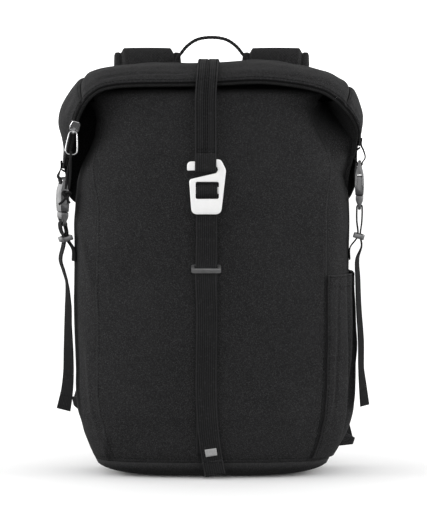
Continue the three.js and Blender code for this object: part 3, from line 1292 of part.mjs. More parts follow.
/** Corner of the body that a wing is sewn to, at a share of the bag's height. */
function wingRoot(side, share) {
  const z = share * BAG_HEIGHT;
  const across = 0.86;
  const back = (1 - across ** BACK_ROUNDNESS) ** (1 / BACK_ROUNDNESS);
  const clear = WING_THICKNESS / 2 + TOUCH_GAP + 0.3;
  return point(side * (halfWidth(side, z) * across + clear * 0.3), backDepth(z) * back + clear, z);
}

/** Tip of a wing, where the webbing of the shoulder strap is sewn on. */
function wingTip(name) {
  const { side, tipUp, tipOut } = WINGS[name];
  return point(side * (BAG_HALF_WIDTH + tipOut), BACK_DEPTH * WING_BACK, tipUp * BAG_HEIGHT);
}

/** Corners of a wing and the direction its outer face looks. */
function wingFrame(name) {
  const { side, low, high } = WINGS[name];
  const [a, b, c] = [wingRoot(side, low), wingRoot(side, high), wingTip(name)];
  const normal = b.clone().sub(a).cross(c.clone().sub(a)).normalize();
  return { a, b, c, normal: normal.y < 0 ? normal.negate() : normal };
}

/** Wing: a triangle of doubled canvas at the bottom corner of the back. */
function wing(name) {
  const { a, b, c, normal } = wingFrame(name);
  const blunt = 0.2;
  const corners = [a, b, c.clone().lerp(b, blunt), c.clone().lerp(a, blunt)];
  const ring = (sign) => corners.map((p) => p.clone().addScaledVector(normal, (sign * WING_THICKNESS) / 2));
  return ringSolid([ring(-1), ring(1)]);
}

/** Webbing sewn on a wing, up to the back of the adjuster. */
function shoulderWebbing(name) {
  const { side } = WINGS[name];
  const { a, b, c, normal } = wingFrame(name);
  const { foot, down } = shoulderFoot(side);
  const root = a.clone().lerp(b, 0.5);
  const out = (WING_THICKNESS + WEBBING) / 2 + TOUCH_GAP;
  const start = c.clone().lerp(root, 0.36).addScaledVector(normal, out);
  const flat = foot.clone().sub(start);
  flat.addScaledVector(normal, -flat.dot(normal)).normalize();
  const behind = point(0, 1, 0).addScaledVector(down, -down.y).normalize();
  const back = (ADJUSTER_THICKNESS + WEBBING) / 2 + TOUCH_GAP;
  const at = (length) => foot.clone().addScaledVector(down, length).addScaledVector(behind, back);
  const route = [
    start,
    start.clone().addScaledVector(flat, 8),
    start.clone().addScaledVector(flat, 16).addScaledVector(normal, 0.4),
    start.clone().addScaledVector(flat, 26).addScaledVector(normal, 2.4),
    start.clone().lerp(at(ADJUSTER_LENGTH + 12), 0.6).add(point(side * 2, 1.5, 0)),
    at(ADJUSTER_LENGTH + 8),
    at(ADJUSTER_LENGTH - 4),
    at(ADJUSTER_LENGTH * 0.4),
  ];
  const steps = 16;
  const low = normal.clone().cross(flat).normalize();
  const high = down.clone().cross(behind).normalize();
  if (low.x < 0) low.negate();
  if (high.x < 0) high.negate();
  const across = (i) => low.clone().lerp(high, smoothstep(i, 3, steps * 0.65));
  return ribbon(smoothRoute(route, steps), across, SIDE_WEB, WEBBING);
}

/** Haul handle: an arch of doubled webbing that is flat where it is sewn on and stands on edge at its top. */
function haulHandle() {
  const half = HANDLE_ROUTE.map(({ across, up, back, edge }) => ({
    p: point(across * HANDLE_HALF_SPAN, back * HANDLE_BACK, lerp(YOKE_TOP, HANDLE_TOP, up)),
    edge,
  }));
  const mirrored = half.slice(0, -1).reverse().map(({ p, edge }) => ({ p: point(-p.x, p.y, p.z), edge: 2 - edge }));
  const all = [...half, ...mirrored].map(({ p, edge }) => ({ p: point(-p.x, p.y, p.z), edge }));
  const steps = 26;
  const route = smoothRoute(all.map(({ p }) => p), steps);
  const across = (i) => {
    const k = Math.min((i / steps) * (all.length - 1), all.length - 1.001);
    const turn = degrees(90 * lerp(all[Math.floor(k)].edge, all[Math.floor(k) + 1].edge, k % 1));
    return point(Math.cos(turn), Math.sin(turn), 0);
  };
  return ribbon(route, across, HANDLE_WEB, HANDLE_THICKNESS);
}

/** Yoke: the strip that covers the sewn ends of the straps. */
function yoke() {
  const wide = 2 * BAG_HALF_WIDTH * 0.7;
  return plate(roundedRectangle(wide, YOKE_HEIGHT, 4), YOKE_THICKNESS, 0.8, 2);
}

const backpack = new THREE.Group();

/** Adds a named sub-part with its own material to a group. */
function add(name, geometry, look, parent = backpack) {
  const mesh = new THREE.Mesh(geometry, new THREE.MeshStandardMaterial(look));
  mesh.name = name;
  parent.add(mesh);
  return mesh;
}

add("front_panel", frontPanel(), CANVAS);
add("side_panel_left", sidePanel(-1), CANVAS);
add("side_panel_right", sidePanel(1), CANVAS);
add("back_panel", backPanel(), CANVAS);
add("base_panel", basePanel(), CANVAS);
add("hood", hoodCentre(), CANVAS);
add("ear_left", ear("left"), CANVAS);
add("ear_right", ear("right"), CANVAS);
add("mouth_layer", mouthLayer(), CANVAS);
add("side_pocket", sidePocket(), CANVAS);
add("zip", zip(), ZIP_TAPE);

// The slider sits across the zip and is turned to its run. The puller hangs from its lug.
const sliderGroup = new THREE.Group();
const sliderRun = zipPoint(SLIDER_PLACE + 0.35).sub(zipPoint(SLIDER_PLACE - 0.35)).normalize();
const sliderBack = point(0, 1, 0).addScaledVector(sliderRun, -sliderRun.y).normalize();
const sliderSide = sliderBack.clone().cross(sliderRun);
const sliderOut = ZIP_THICKNESS / 2 + TOUCH_GAP + 0.3 + SLIDER_PLATE / 2;
sliderGroup.quaternion.setFromRotationMatrix(new THREE.Matrix4().makeBasis(sliderSide, sliderBack, sliderRun));
sliderGroup.position.copy(zipPoint(SLIDER_PLACE)).addScaledVector(sliderBack, -sliderOut);
backpack.add(sliderGroup);
add("zip_slider", zipSlider(), ZIP_METAL, sliderGroup);

const pullerGroup = new THREE.Group();
const lugOut = SLIDER_PLATE / 2 + LUG_RADIUS - 0.6;
pullerGroup.position.copy(sliderGroup.position).add(
  point(0, -lugOut, LUG_OFFSET).applyQuaternion(sliderGroup.quaternion),
);
pullerGroup.rotation.y = Math.atan2(sliderRun.x, sliderRun.z) * 0.4;
backpack.add(pullerGroup);
add("zip_puller", zipPuller(), ZIP_METAL, pullerGroup);
const cordGroup = new THREE.Group();
cordGroup.position.set(0, 0, -PULLER_LENGTH);
pullerGroup.add(cordGroup);
add("pull_cord", pullCord(), CORD_BLACK, cordGroup);
const cordFoot = CORD_ROUTE[0];
const knotTop = CORD / 2 + PULLER_WIRE / 2 + TOUCH_GAP - cordFoot.drop - TOUCH_GAP;
add("cord_knot", cordKnot(), CORD_BLACK, cordGroup).position.set(0, -cordFoot.front, knotTop);

add("hook_strap", hookStrap(), WEB);
add("open_hook", openHook(), HOOK_METAL).position.set(HOOK_SIDE, HOOK_PLANE, HOOK_CENTRE);
add("lower_strap", lowerStrapGeometry(), WEB);
const keeperMesh = add("strap_keeper", keeper(STRAP_WIDTH, -66, KEEPER_OPENING), GREY_METAL);
keeperMesh.position.set(HOOK_SIDE - 1.2, -frontDepth(KEEPER_HEIGHT) - KEEPER_OUT, KEEPER_HEIGHT);
const foldTop = STRAP_END_HEIGHT + END_TAB;
add("strap_end_fold", onTail(STRAP_WIDTH, WEBBING, foldTop, 0), WEB);
add("strap_label", onTail(LABEL_WIDTH, 0.9, foldTop + 1 + LABEL_HEIGHT, foldTop + 1), LABEL);

for (const name of ["left", "right"]) {
  const { side, out, front, turn, mouth, keeperZ, keeperOut, x } = sideStrap(name);
  const strap = new THREE.Group();
  strap.position.set(side * (BAG_HALF_WIDTH + out), -front, 0);
  strap.rotation.z = degrees(-side * turn);
  backpack.add(strap);
  add(`buckle_socket_${name}`, buckleSocket(), GREY_METAL, strap).position.z = mouth;
  add(`buckle_plug_${name}`, bucklePlug(), GREY_METAL, strap).position.z = mouth;
  add(`ear_loop_${name}`, earLoop(name), WEB, strap);
  add(`side_webbing_${name}`, sideWebbing(name), WEB, strap);
  const frame = keeper(SIDE_WEB, 0, KEEPER_OPENING + 1.6).rotateZ(Math.PI / 2);
  const keeperNode = add(`side_keeper_${name}`, frame, GREY_METAL, strap);
  keeperNode.position.set(x(keeperOut), 0, keeperZ);
  keeperNode.rotation.y = degrees(-side * SIDE_STRAPS[name].keeperTilt);
}

for (const [name, side] of [["left", -1], ["right", 1]]) {
  const pad = add(`back_pad_${name}`, backPad(), FOAM_MESH);
  const padBack = BACK_DEPTH + TOUCH_GAP + PAD_THICKNESS / 2;
  pad.position.set((side * PAD_SPACING) / 2, padBack, PAD_FLOOR + PAD_HEIGHT / 2);
  add(`shoulder_strap_${name}`, shoulderStrap(side), FOAM_MESH);
  add(`strap_adjuster_${name}`, adjuster(side), PLASTIC);
  add(`anchor_wing_${name}`, wing(name), CANVAS);
  add(`shoulder_webbing_${name}`, shoulderWebbing(name), WEB);
}
const yokeBack = BACK_DEPTH + TOUCH_GAP + YOKE_THICKNESS / 2;
add("yoke", yoke(), CANVAS).position.set(0, yokeBack, YOKE_TOP - YOKE_HEIGHT / 2);
add("haul_handle", haulHandle(), WEB);

export default backpack;
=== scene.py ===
"""Looks of a roll-top backpack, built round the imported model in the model's own frame.

The classes work in millimetres, as the model's source does. A length is turned into metres when its mesh is
written. The studio's floor, lamps and camera are placed in metres.
"""

from __future__ import annotations

import json
import logging
import math
from dataclasses import dataclass, replace
from enum import Enum
from typing import Callable, Sequence

import bmesh
import bpy
import numpy as np
from mathutils import Matrix, Vector

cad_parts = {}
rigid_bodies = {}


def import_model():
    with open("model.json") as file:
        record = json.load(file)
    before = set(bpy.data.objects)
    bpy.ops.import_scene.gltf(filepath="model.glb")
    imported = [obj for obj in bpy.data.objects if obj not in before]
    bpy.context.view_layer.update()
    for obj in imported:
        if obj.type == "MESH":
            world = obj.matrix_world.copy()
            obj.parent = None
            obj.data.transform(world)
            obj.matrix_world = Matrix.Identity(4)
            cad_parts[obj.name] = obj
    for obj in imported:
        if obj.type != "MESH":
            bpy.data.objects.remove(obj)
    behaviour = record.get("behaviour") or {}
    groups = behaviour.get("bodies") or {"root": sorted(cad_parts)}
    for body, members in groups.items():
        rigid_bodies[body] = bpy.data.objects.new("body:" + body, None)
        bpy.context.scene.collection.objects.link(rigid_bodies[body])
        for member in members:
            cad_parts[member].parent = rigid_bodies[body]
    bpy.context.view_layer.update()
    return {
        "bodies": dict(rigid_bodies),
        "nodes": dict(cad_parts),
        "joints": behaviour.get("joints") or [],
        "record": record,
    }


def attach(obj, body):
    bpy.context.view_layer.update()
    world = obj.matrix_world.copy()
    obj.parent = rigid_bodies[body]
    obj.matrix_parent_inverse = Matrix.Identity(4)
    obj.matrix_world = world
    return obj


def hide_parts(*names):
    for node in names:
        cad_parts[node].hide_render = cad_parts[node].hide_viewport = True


log = logging.getLogger("backpack")
Array = np.ndarray
Piece = bpy.types.Object
Socket = bpy.types.NodeSocket
METRES = 0.001

CLOTH = 2.0
SEAM_GAP = 0.4
TOUCH_GAP = 0.3
WEBBING = 1.6
STITCH_LIFT = 0.05
RIM_BULGE = 0.3
CORNER_STEPS = 8

RIGHTWARD = np.array([1.0, 0.0, 0.0])
BACKWARD = np.array([0.0, 1.0, 0.0])
FORWARD = np.array([0.0, -1.0, 0.0])
UPRIGHT = np.array([[1.0, 0.0, 0.0], [0.0, 0.0, 1.0], [0.0, -1.0, 0.0]])


# Working with arrays of points


def smoothstep(x: Array | float, low: float, high: float) -> Array:
    """Rises from 0 at low to 1 at high as 3t² - 2t³."""
    t = np.clip((np.asarray(x, float) - low) / (high - low), 0, 1)
    return t * t * (3 - 2 * t)


def lerp(a: Array | float, b: Array | float, t: Array | float) -> Array:
    """The mix a + (b - a)t."""
    return np.asarray(a, float) + (np.asarray(b, float) - np.asarray(a, float)) * t


def unit(v: Array) -> Array:
    """Vectors along the last axis, at length 1."""
    return v / np.maximum(np.linalg.norm(v, axis=-1, keepdims=True), 1e-12)


def bump(x: Array, middle: float, spread: float) -> Array:
    """A soft ridge exp(-((x - middle) / spread)²)."""
    return np.exp(-(((np.asarray(x, float) - middle) / spread) ** 2))


def smooth_curve(controls: Array, count: int, closed: bool = False) -> Array:
    """Points on a centripetal Catmull-Rom curve, evenly spaced in the controls' own numbering.

    Args:
        controls: points, or rows of points, along the first axis.
        count: number of steps along the curve.
        closed: whether the last control joins the first.

    Returns:
        count + 1 points, or count points of a closed curve.
    """
    controls = np.asarray(controls, float)
    if closed:
        padded = np.concatenate([controls[-1:], controls, controls[:2]])
        spans = len(controls)
        at = np.linspace(0, spans, count + 1)[:-1]
    else:
        before, after = 2 * controls[:1] - controls[1:2], 2 * controls[-1:] - controls[-2:-1]
        padded = np.concatenate([before, controls, after])
        spans = len(controls) - 1
        at = np.linspace(0, spans, count + 1)
    i = np.minimum(at.astype(int), spans - 1)
    t = (at - i).reshape((-1,) + (1,) * (controls.ndim - 1))
    p0, p1, p2, p3 = (padded[i + n] for n in range(4))
    d0, d1, d2 = (
        np.sqrt(np.linalg.norm(b - a, axis=-1, keepdims=True)) for a, b in ((p0, p1), (p1, p2), (p2, p3))
    )
    d1 = np.where(d1 < 1e-4, 1.0, d1)
    d0, d2 = np.where(d0 < 1e-4, d1, d0), np.where(d2 < 1e-4, d1, d2)
    leave = ((p1 - p0) / d0 - (p2 - p0) / (d0 + d1) + (p2 - p1) / d1) * d1
    arrive = ((p2 - p1) / d1 - (p3 - p1) / (d1 + d2) + (p3 - p2) / d2) * d1
    square, cube = 3 * (p2 - p1) - 2 * leave - arrive, 2 * (p1 - p2) + leave + arrive
    return p1 + leave * t + square * t**2 + cube * t**3


def travel(route: Array) -> Array:
    """Unit directions of travel at each point of a route."""
    return unit(np.gradient(route, axis=0))


def run_length(route: Array) -> Array:
    """Distance along a route at each of its points."""
    steps = np.linalg.norm(np.diff(route, axis=0), axis=-1)
    return np.concatenate([np.zeros((1,) + steps.shape[1:]), np.cumsum(steps, axis=0)])


def respace(route: Array, places: Array) -> Array:
    """Points of a route at given distances along it."""
    run = run_length(route)
    return np.stack([np.interp(places, run, route[:, k]) for k in range(route.shape[1])], axis=1)


def stretch(values: Array, steps: int) -> Array:
    """Values at every point of a curve of so many steps, from one value at each of its controls."""
    places = np.arange(len(values))
    return np.interp(np.linspace(0, len(values) - 1, steps + 1), places, values)


def rim_rays(u: Array, v: Array) -> tuple[Array, Array, Array]:
    """The larger of |u| and |v| over a square, and the place on the square's rim in each direction."""
    share = np.maximum(np.abs(u), np.abs(v))
    return share, u / np.maximum(share, 1e-9), v / np.maximum(share, 1e-9)


def rim_reach(a: Array, b: Array, power: Array | float) -> Array:
    """The scale that brings a place (a, b) onto the superellipse |x|^n + |y|^n = 1."""
    return np.maximum(np.abs(a) ** power + np.abs(b) ** power, 1e-9) ** (-1 / power)


def grid_normals(grid: Array) -> Array:
    """Unit normals of a grid of points: the step across the columns crossed with the step up the rows."""
    return unit(np.cross(np.gradient(grid, axis=1), np.gradient(grid, axis=0)))


def grid_arcs(grid: Array) -> Array:
    """Lengths over a grid's surface, across from its middle column and up from its first row, in metres."""
    across = run_length(grid.transpose(1, 0, 2)).T
    across = across - across[:, across.shape[1] // 2][:, None]
    up = run_length(grid)
    up = np.broadcast_to(up[:, up.shape[1] // 2][:, None], across.shape)
    return np.stack([across, up], axis=-1) * METRES


@dataclass(frozen=True)
class SmoothTable:
    """Columns of numbers over a rising key, joined by a smooth curve through the rows."""

    keys: tuple[float, ...]
    columns: dict[str, tuple[float, ...]]

    def at(self, name: str, place: Array | float) -> Array:
        """Value of a column at a place along the key.

        Args:
            name: the column's name.
            place: where along the key to read it.

        Returns:
            The value, shaped as place.
        """
        keys, values = np.asarray(self.keys), np.asarray(self.columns[name])
        slope = np.empty(len(keys))
        slope[1:-1] = (values[2:] - values[:-2]) / (keys[2:] - keys[:-2])
        slope[0] = (values[1] - values[0]) / (keys[1] - keys[0])
        slope[-1] = (values[-1] - values[-2]) / (keys[-1] - keys[-2])
        i = np.clip(np.searchsorted(keys, place) - 1, 0, len(keys) - 2)
        span = keys[i + 1] - keys[i]
        t = np.clip((place - keys[i]) / span, 0, 1)
        start = values[i] + slope[i] * span * t
        end = values[i + 1] - slope[i + 1] * span * (1 - t)
        return lerp(start, end, t * t * (3 - 2 * t))


@dataclass(frozen=True)
class Ripple:
    """Gentle unevenness of cloth: a sum of sine waves whose directions and phases come from a seed."""

    seed: int
    longest: float
    shortest: float
    height: float
    waves: int = 14

    def at(self, across: Array, up: Array) -> Array:
        """Height of the ripple at places given in millimetres over the cloth."""
        chance = np.random.default_rng(self.seed)
        length = np.exp(chance.uniform(math.log(self.shortest), math.log(self.longest), self.waves))
        angle, phase = chance.uniform(0, math.pi, self.waves), chance.uniform(0, 2 * math.pi, self.waves)
        total = np.zeros(np.broadcast(across, up).shape)
        for size, turn, start in zip(length, angle, phase):
            place = across * math.cos(turn) + up * math.sin(turn)
            total += np.sin(2 * math.pi * place / size + start) * (size / self.longest) ** 0.7
        return self.height * total / math.sqrt(self.waves)


@dataclass(frozen=True)
class Fold:
    """A soft ridge or, with a negative height, a soft valley that runs from its foot to its head."""

    foot: tuple[float, float]
    head: tuple[float, float]
    height: float
    spread: float

    def at(self, across: Array, up: Array) -> Array:
        """Height of the fold at a place: it falls off beside its line as exp(-d²) and fades at both ends."""
        t = (up - self.foot[1]) / (self.head[1] - self.foot[1])
        fade = smoothstep(t, -0.25, 0.2) * (1 - smoothstep(t, 0.8, 1.25))
        aside = (across - lerp(self.foot[0], self.head[0], t)) / self.spread
        return self.height * fade * np.exp(-aside * aside)


# Writing meshes


def write_mesh(name: str, points: Array, faces: Sequence[Array], uv: Array | None = None) -> Piece:
    """A mesh object from points in millimetres, with its faces turned outwards.

    Args:
        name: the piece's name.
        points: the vertices, one row each.
        faces: arrays of corner numbers, each array with one count of corners.
        uv: a place on the surface for each vertex, in metres.

    Returns:
        The object, at the origin, linked to the scene.
    """
    points = np.asarray(points, float).reshape(-1, 3)
    corners = np.concatenate([f.reshape(-1) for f in faces])
    counts = np.concatenate([np.full(len(f), f.shape[1]) for f in faces])
    volume = 0.0
    for f in faces:
        for k in range(1, f.shape[1] - 1):
            volume += np.einsum("ij,ij->", points[f[:, 0]], np.cross(points[f[:, k]], points[f[:, k + 1]]))
    if volume < 0:
        corners = np.concatenate([f[:, ::-1].reshape(-1) for f in faces])
    starts = np.concatenate([[0], np.cumsum(counts)[:-1]])
    mesh = bpy.data.meshes.new(name)
    mesh.vertices.add(len(points))
    mesh.vertices.foreach_set("co", (points * METRES).ravel())
    mesh.loops.add(len(corners))
    mesh.loops.foreach_set("vertex_index", corners.astype(np.int32))
    mesh.polygons.add(len(counts))
    mesh.polygons.foreach_set("loop_start", starts.astype(np.int32))
    mesh.polygons.foreach_set("use_smooth", np.ones(len(counts), bool))
    if uv is not None:
        layer = mesh.uv_layers.new(name="surface")
        layer.uv.foreach_set("vector", np.asarray(uv, float).reshape(-1, 2)[corners].ravel())
    mesh.update(calc_edges=True)
    mesh.validate()
    made = bpy.data.objects.new(name, mesh)
    bpy.context.scene.collection.objects.link(made)
    return made


def grid_faces(rows: int, columns: int, first: int = 0, around: bool = False) -> Array:
    """Corner numbers of the quads between the points of a grid whose first point has the number first."""
    index = first + np.arange(rows * columns).reshape(rows, columns)
    if around:
        index = np.concatenate([index, index[:, :1]], axis=1)
    quad = [index[:-1, :-1], index[:-1, 1:], index[1:, 1:], index[1:, :-1]]
    return np.stack(quad, axis=-1).reshape(-1, 4)


def cloth_sheet(name: str, outer: Array, thickness: float = CLOTH) -> Piece:
    """A sheet of cloth with a soft rim. Its inner face is the outer one moved in along the normals.

    Args:
        name: the piece's name.
        outer: grid of points of the outer face, rows then columns.
        thickness: how thick the cloth is, in millimetres.

    Returns:
        The closed sheet.
    """
    rows, columns = outer.shape[:2]
    count = rows * columns
    normals, arcs = grid_normals(outer), grid_arcs(outer).reshape(-1, 2)
    index = np.arange(count).reshape(rows, columns)
    loop = np.concatenate([index[0, :-1], index[:-1, -1], index[-1, :0:-1], index[:0:-1, 0]])
    rim = (outer - normals * thickness / 2).reshape(-1, 3)[loop]
    along = unit(np.roll(rim, -1, axis=0) - np.roll(rim, 1, axis=0))
    out = unit(np.cross(along, normals.reshape(-1, 3)[loop]))
    rim_index, after = 2 * count + np.arange(len(loop)), np.roll(loop, -1)
    rim_after = np.roll(rim_index, -1)
    faces = [
        grid_faces(rows, columns),
        grid_faces(rows, columns, count)[:, ::-1],
        np.stack([loop, rim_index, rim_after, after], axis=-1),
        np.stack([rim_index, loop + count, after + count, rim_after], axis=-1),
    ]
    inner = (outer - normals * thickness).reshape(-1, 3)
    points = [outer.reshape(-1, 3), inner, rim + out * thickness * RIM_BULGE]
    return write_mesh(name, np.concatenate(points), faces, np.concatenate([arcs, arcs, arcs[loop]]))


def tube_mesh(name: str, rings: Array, closed: bool = False, uv: Array | None = None) -> Piece:
    """A closed skin over rings of points, with a rounded-in cap at both ends unless the rings join up.

    Args:
        name: the piece's name.
        rings: points as rings along the path, then points round each ring.
        closed: whether the last ring joins the first.
        uv: a place for each point, across and along, in metres.

    Returns:
        The tube.
    """
    count, sides = rings.shape[:2]
    faces = [grid_faces(count, sides, around=True)]
    points = [rings.reshape(-1, 3)]
    if uv is None:
        round_up = run_length(rings.transpose(1, 0, 2)).T * METRES
        along = np.broadcast_to(run_length(rings.mean(axis=1))[:, None] * METRES, (count, sides))
        uv = np.stack([round_up, along], axis=-1)
    places = [uv.reshape(-1, 2)]
    if closed:
        last, start = (count - 1) * sides + np.arange(sides), np.arange(sides)
        faces.append(np.stack([last, np.roll(last, -1), np.roll(start, -1), start], axis=-1))
    else:
        for ring, place, first in ((rings[0], uv[0], 0), (rings[-1], uv[-1], (count - 1) * sides)):
            loop = first + np.arange(sides)
            hub = np.full(sides, sum(len(p) for p in points))
            points.append(ring.mean(axis=0)[None])
            places.append(place.mean(axis=0)[None])
            fan = np.stack([hub, loop, np.roll(loop, -1)], axis=-1)
            faces.append(fan if first else fan[:, ::-1])
    return write_mesh(name, np.concatenate(points), faces, np.concatenate(places))


def ring_frames(route: Array, across: Array) -> tuple[Array, Array]:
    """Directions of a band's width and thickness at each point of its route.

    Args:
        route: points along the band.
        across: wished direction of the width at each point, or one for all.

    Returns:
        Unit directions of the width and of the thickness.
    """
    along = travel(route)
    wide = unit(across - along * np.sum(across * along, axis=-1, keepdims=True))
    return wide, unit(np.cross(along, wide))


def wire_mesh(
    name: str, route: Array, radius: Array | float, sides: int = 12, closed: bool = False
) -> Piece:
    """A round wire or cord along a route, whose rings are carried along it without twist.

    Args:
        name: the piece's name.
        route: middle line of the wire.
        radius: its radius, one for all or one for each point.
        sides: number of points round the wire.
        closed: whether the last point joins the first.

    Returns:
        The wire.
    """
    if closed:
        along = unit(np.roll(route, -1, axis=0) - np.roll(route, 1, axis=0))
    else:
        along = travel(route)
    side = np.empty_like(along)
    side[0] = unit(np.cross(along[0], [0.31, 0.93, 0.17]))
    for k in range(1, len(along)):
        side[k] = unit(side[k - 1] - along[k] * np.dot(side[k - 1], along[k]))
    angle = np.linspace(0, 2 * math.pi, sides, endpoint=False)[None, :, None]
    other = np.cross(along, side)
    reach = np.broadcast_to(np.asarray(radius, float), (len(route),))[:, None, None]
    rings = route[:, None] + reach * (np.cos(angle) * side[:, None] + np.sin(angle) * other[:, None])
    return tube_mesh(name, rings, closed)


class Band(Enum):
    """How a band of webbing is made up."""

    SINGLE = "one layer"
    FOLDED = "both edges folded to the middle"
    DOUBLE = "two layers sewn together"


def webbing_section(width: float, thickness: float, band: Band) -> tuple[Array, Array]:
    """Outline of a band cut across: places across and through it, and the place across for its pattern.

    The faces are flat with a slightly fuller selvedge, and the edges are round. A folded band has a groove in
    the middle of its front, and a double one a groove along both edges.
    """
    flat = np.linspace(-1, 1, 25)
    edge = 0.94 + 0.1 * bump(np.abs(flat), 0.93, 0.05) - 0.62 * smoothstep(np.abs(flat), 0.975, 1.0)
    face = edge - (0.75 * bump(flat, 0.02, 0.035) if band is Band.FOLDED else 0.0)
    front = np.stack([flat * width / 2, face * thickness / 2], axis=-1)
    back = np.stack([flat[::-1] * width / 2, -edge[::-1] * thickness / 2], axis=-1)
    notch = 0.35 if band is Band.DOUBLE else -0.12
    right = np.array([[width / 2 - notch, 0.0]])
    outline = np.concatenate([front, right, back, -right])
    return outline, outline[:, 0] * METRES


def webbing_band(
    name: str, route: Array, across: Array, width: float, thickness: float = WEBBING, band: Band = Band.SINGLE
) -> Piece:
    """Webbing carried along a route, with its pattern's places across and along it.

    Args:
        name: the piece's name.
        route: middle line of the band.
        across: direction of the width at each point, or one for all.
        width: width of the webbing.
        thickness: thickness of the band.
        band: how it is made up.

    Returns:
        The band.
    """
    wide, thick = ring_frames(route, across)
    outline, place = webbing_section(width, thickness, band)
    rings = route[:, None] + outline[None, :, :1] * wide[:, None] + outline[None, :, 1:] * thick[:, None]
    along = run_length(route) * METRES
    uv = np.stack(np.broadcast_arrays(place[None, :], along[:, None]), axis=-1)
    return tube_mesh(name, rings, uv=uv)


def rounded_outline(corners: Sequence[tuple[float, float, float]]) -> Array:
    """A flat outline whose corners (x, y, cut) are rounded as quadratic curves between the cuts."""
    spots = np.array([c[:2] for c in corners], float)
    cuts = np.array([c[2] for c in corners], float)[:, None]
    start = spots + unit(np.roll(spots, 1, axis=0) - spots) * cuts
    end = spots + unit(np.roll(spots, -1, axis=0) - spots) * cuts
    t = np.linspace(0, 1, CORNER_STEPS + 1)[None, :, None]
    arcs = (1 - t) ** 2 * start[:, None] + 2 * t * (1 - t) * spots[:, None] + t**2 * end[:, None]
    return arcs.reshape(-1, 2)


def rounded_rectangle(width: float, height: float, cut: float) -> Array:
    """A rectangle about the origin with rounded corners."""
    x, y = width / 2, height / 2
    return rounded_outline([(-x, -y, cut), (x, -y, cut), (x, y, cut), (-x, y, cut)])


def plate_mesh(
    name: str, outlines: Sequence[Array], thickness: float, bevel: float, place: Matrix
) -> Piece:
    """A plate cut to an outline, with its holes after it, whose edges are rounded to the bevel.

    Args:
        name: the piece's name.
        outlines: the outer outline and any holes, in millimetres.
        thickness: thickness of the plate.
        bevel: radius of the rounded edges.
        place: turns the plate's own X, Y and thickness into the frame, with its position in millimetres.

    Returns:
        The plate as a mesh at the origin.
    """
    curve = bpy.data.curves.new(name + "_outline", "CURVE")
    curve.dimensions, curve.fill_mode = "2D", "BOTH"
    for outline in outlines:
        spline = curve.splines.new("POLY")
        spline.points.add(len(outline) - 1)
        flat = np.pad(outline * METRES, ((0, 0), (0, 2)))
        flat[:, 3] = 1
        spline.points.foreach_set("co", flat.ravel())
        spline.use_cyclic_u = True
    curve.extrude = (thickness / 2 - bevel) * METRES
    curve.bevel_depth, curve.bevel_resolution, curve.offset = bevel * METRES, 3, -bevel * METRES
    holder = bpy.data.objects.new(name + "_outline", curve)
    bpy.context.scene.collection.objects.link(holder)
    bpy.context.view_layer.update()
    mesh = bpy.data.meshes.new_from_object(holder.evaluated_get(bpy.context.evaluated_depsgraph_get()))
    bpy.data.objects.remove(holder)
    turned = place.copy()
    turned.translation = turned.translation * METRES
    mesh.transform(turned)
    work = bmesh.new()
    work.from_mesh(mesh)
    bmesh.ops.remove_doubles(work, verts=work.verts, dist=1e-6)
    bmesh.ops.recalc_face_normals(work, faces=work.faces)
    work.to_mesh(mesh)
    work.free()
    mesh.name = name
    mesh.shade_smooth()
    mesh.set_sharp_from_angle(angle=math.radians(42))
    made = bpy.data.objects.new(name, mesh)
    bpy.context.scene.collection.objects.link(made)
    return made


def rounded_copy(source: Piece, name: str, radius: float) -> Piece:
    """A merged copy of a hard CAD node whose sharp edges are rounded to a radius in millimetres."""
    work = bmesh.new()
    work.from_mesh(source.data)
    bmesh.ops.remove_doubles(work, verts=work.verts, dist=2e-5)
    bmesh.ops.dissolve_limit(work, angle_limit=math.radians(2), verts=work.verts, edges=work.edges)
    mesh = bpy.data.meshes.new(name)
    work.to_mesh(mesh)
    work.free()
    mesh.materials.clear()
    mesh.shade_smooth()
    made = bpy.data.objects.new(name, mesh)
    bpy.context.scene.collection.objects.link(made)
    edge = made.modifiers.new("rounded edges", "BEVEL")
    edge.width, edge.segments, edge.limit_method = radius * METRES, 3, "ANGLE"
    edge.angle_limit, edge.use_clamp_overlap, edge.harden_normals = math.radians(28), True, True
    return made


def scatter_beads(
    name: str, places: Array, along: Array, out: Array, size: tuple[float, float, float]
) -> Piece:
    """Small rounded beads, such as stitches or zip teeth, one at each place.

    A bead is four bands of six sides that swell and shrink as an ellipsoid of its length, width and height.

    Args:
        name: the piece's name.
        places: middle of each bead.
        along: direction of each bead's length.
        out: direction of each bead's height.
        size: length, width and height of a bead.

    Returns:
        All the beads as one mesh.
    """
    station = np.array([-1.0, -0.72, 0.0, 0.72, 1.0])
    reach = np.array([0.35, 0.85, 1.0, 0.85, 0.35])
    angle = np.linspace(0, 2 * math.pi, 6, endpoint=False)
    along, out = unit(along), unit(out)
    side = unit(np.cross(out, along))
    out = np.cross(along, side)
    half = np.asarray(size) / 2
    rings, sides = len(station), len(angle)
    length = station[None, :, None, None] * half[0] * along[:, None, None]
    width = (reach[:, None] * np.cos(angle))[None, :, :, None] * half[1] * side[:, None, None]
    height = (reach[:, None] * np.sin(angle))[None, :, :, None] * half[2] * out[:, None, None]
    points = places[:, None, None] + (length + width + height)
    one = grid_faces(rings, sides, around=True)
    caps = np.array([np.arange(sides)[::-1], (rings - 1) * sides + np.arange(sides)])
    shift = (np.arange(len(places)) * rings * sides)[:, None, None]
    faces = [(one[None] + shift).reshape(-1, 4), (caps[None] + shift).reshape(-1, sides)]
    return write_mesh(name, points.reshape(-1, 3), faces)


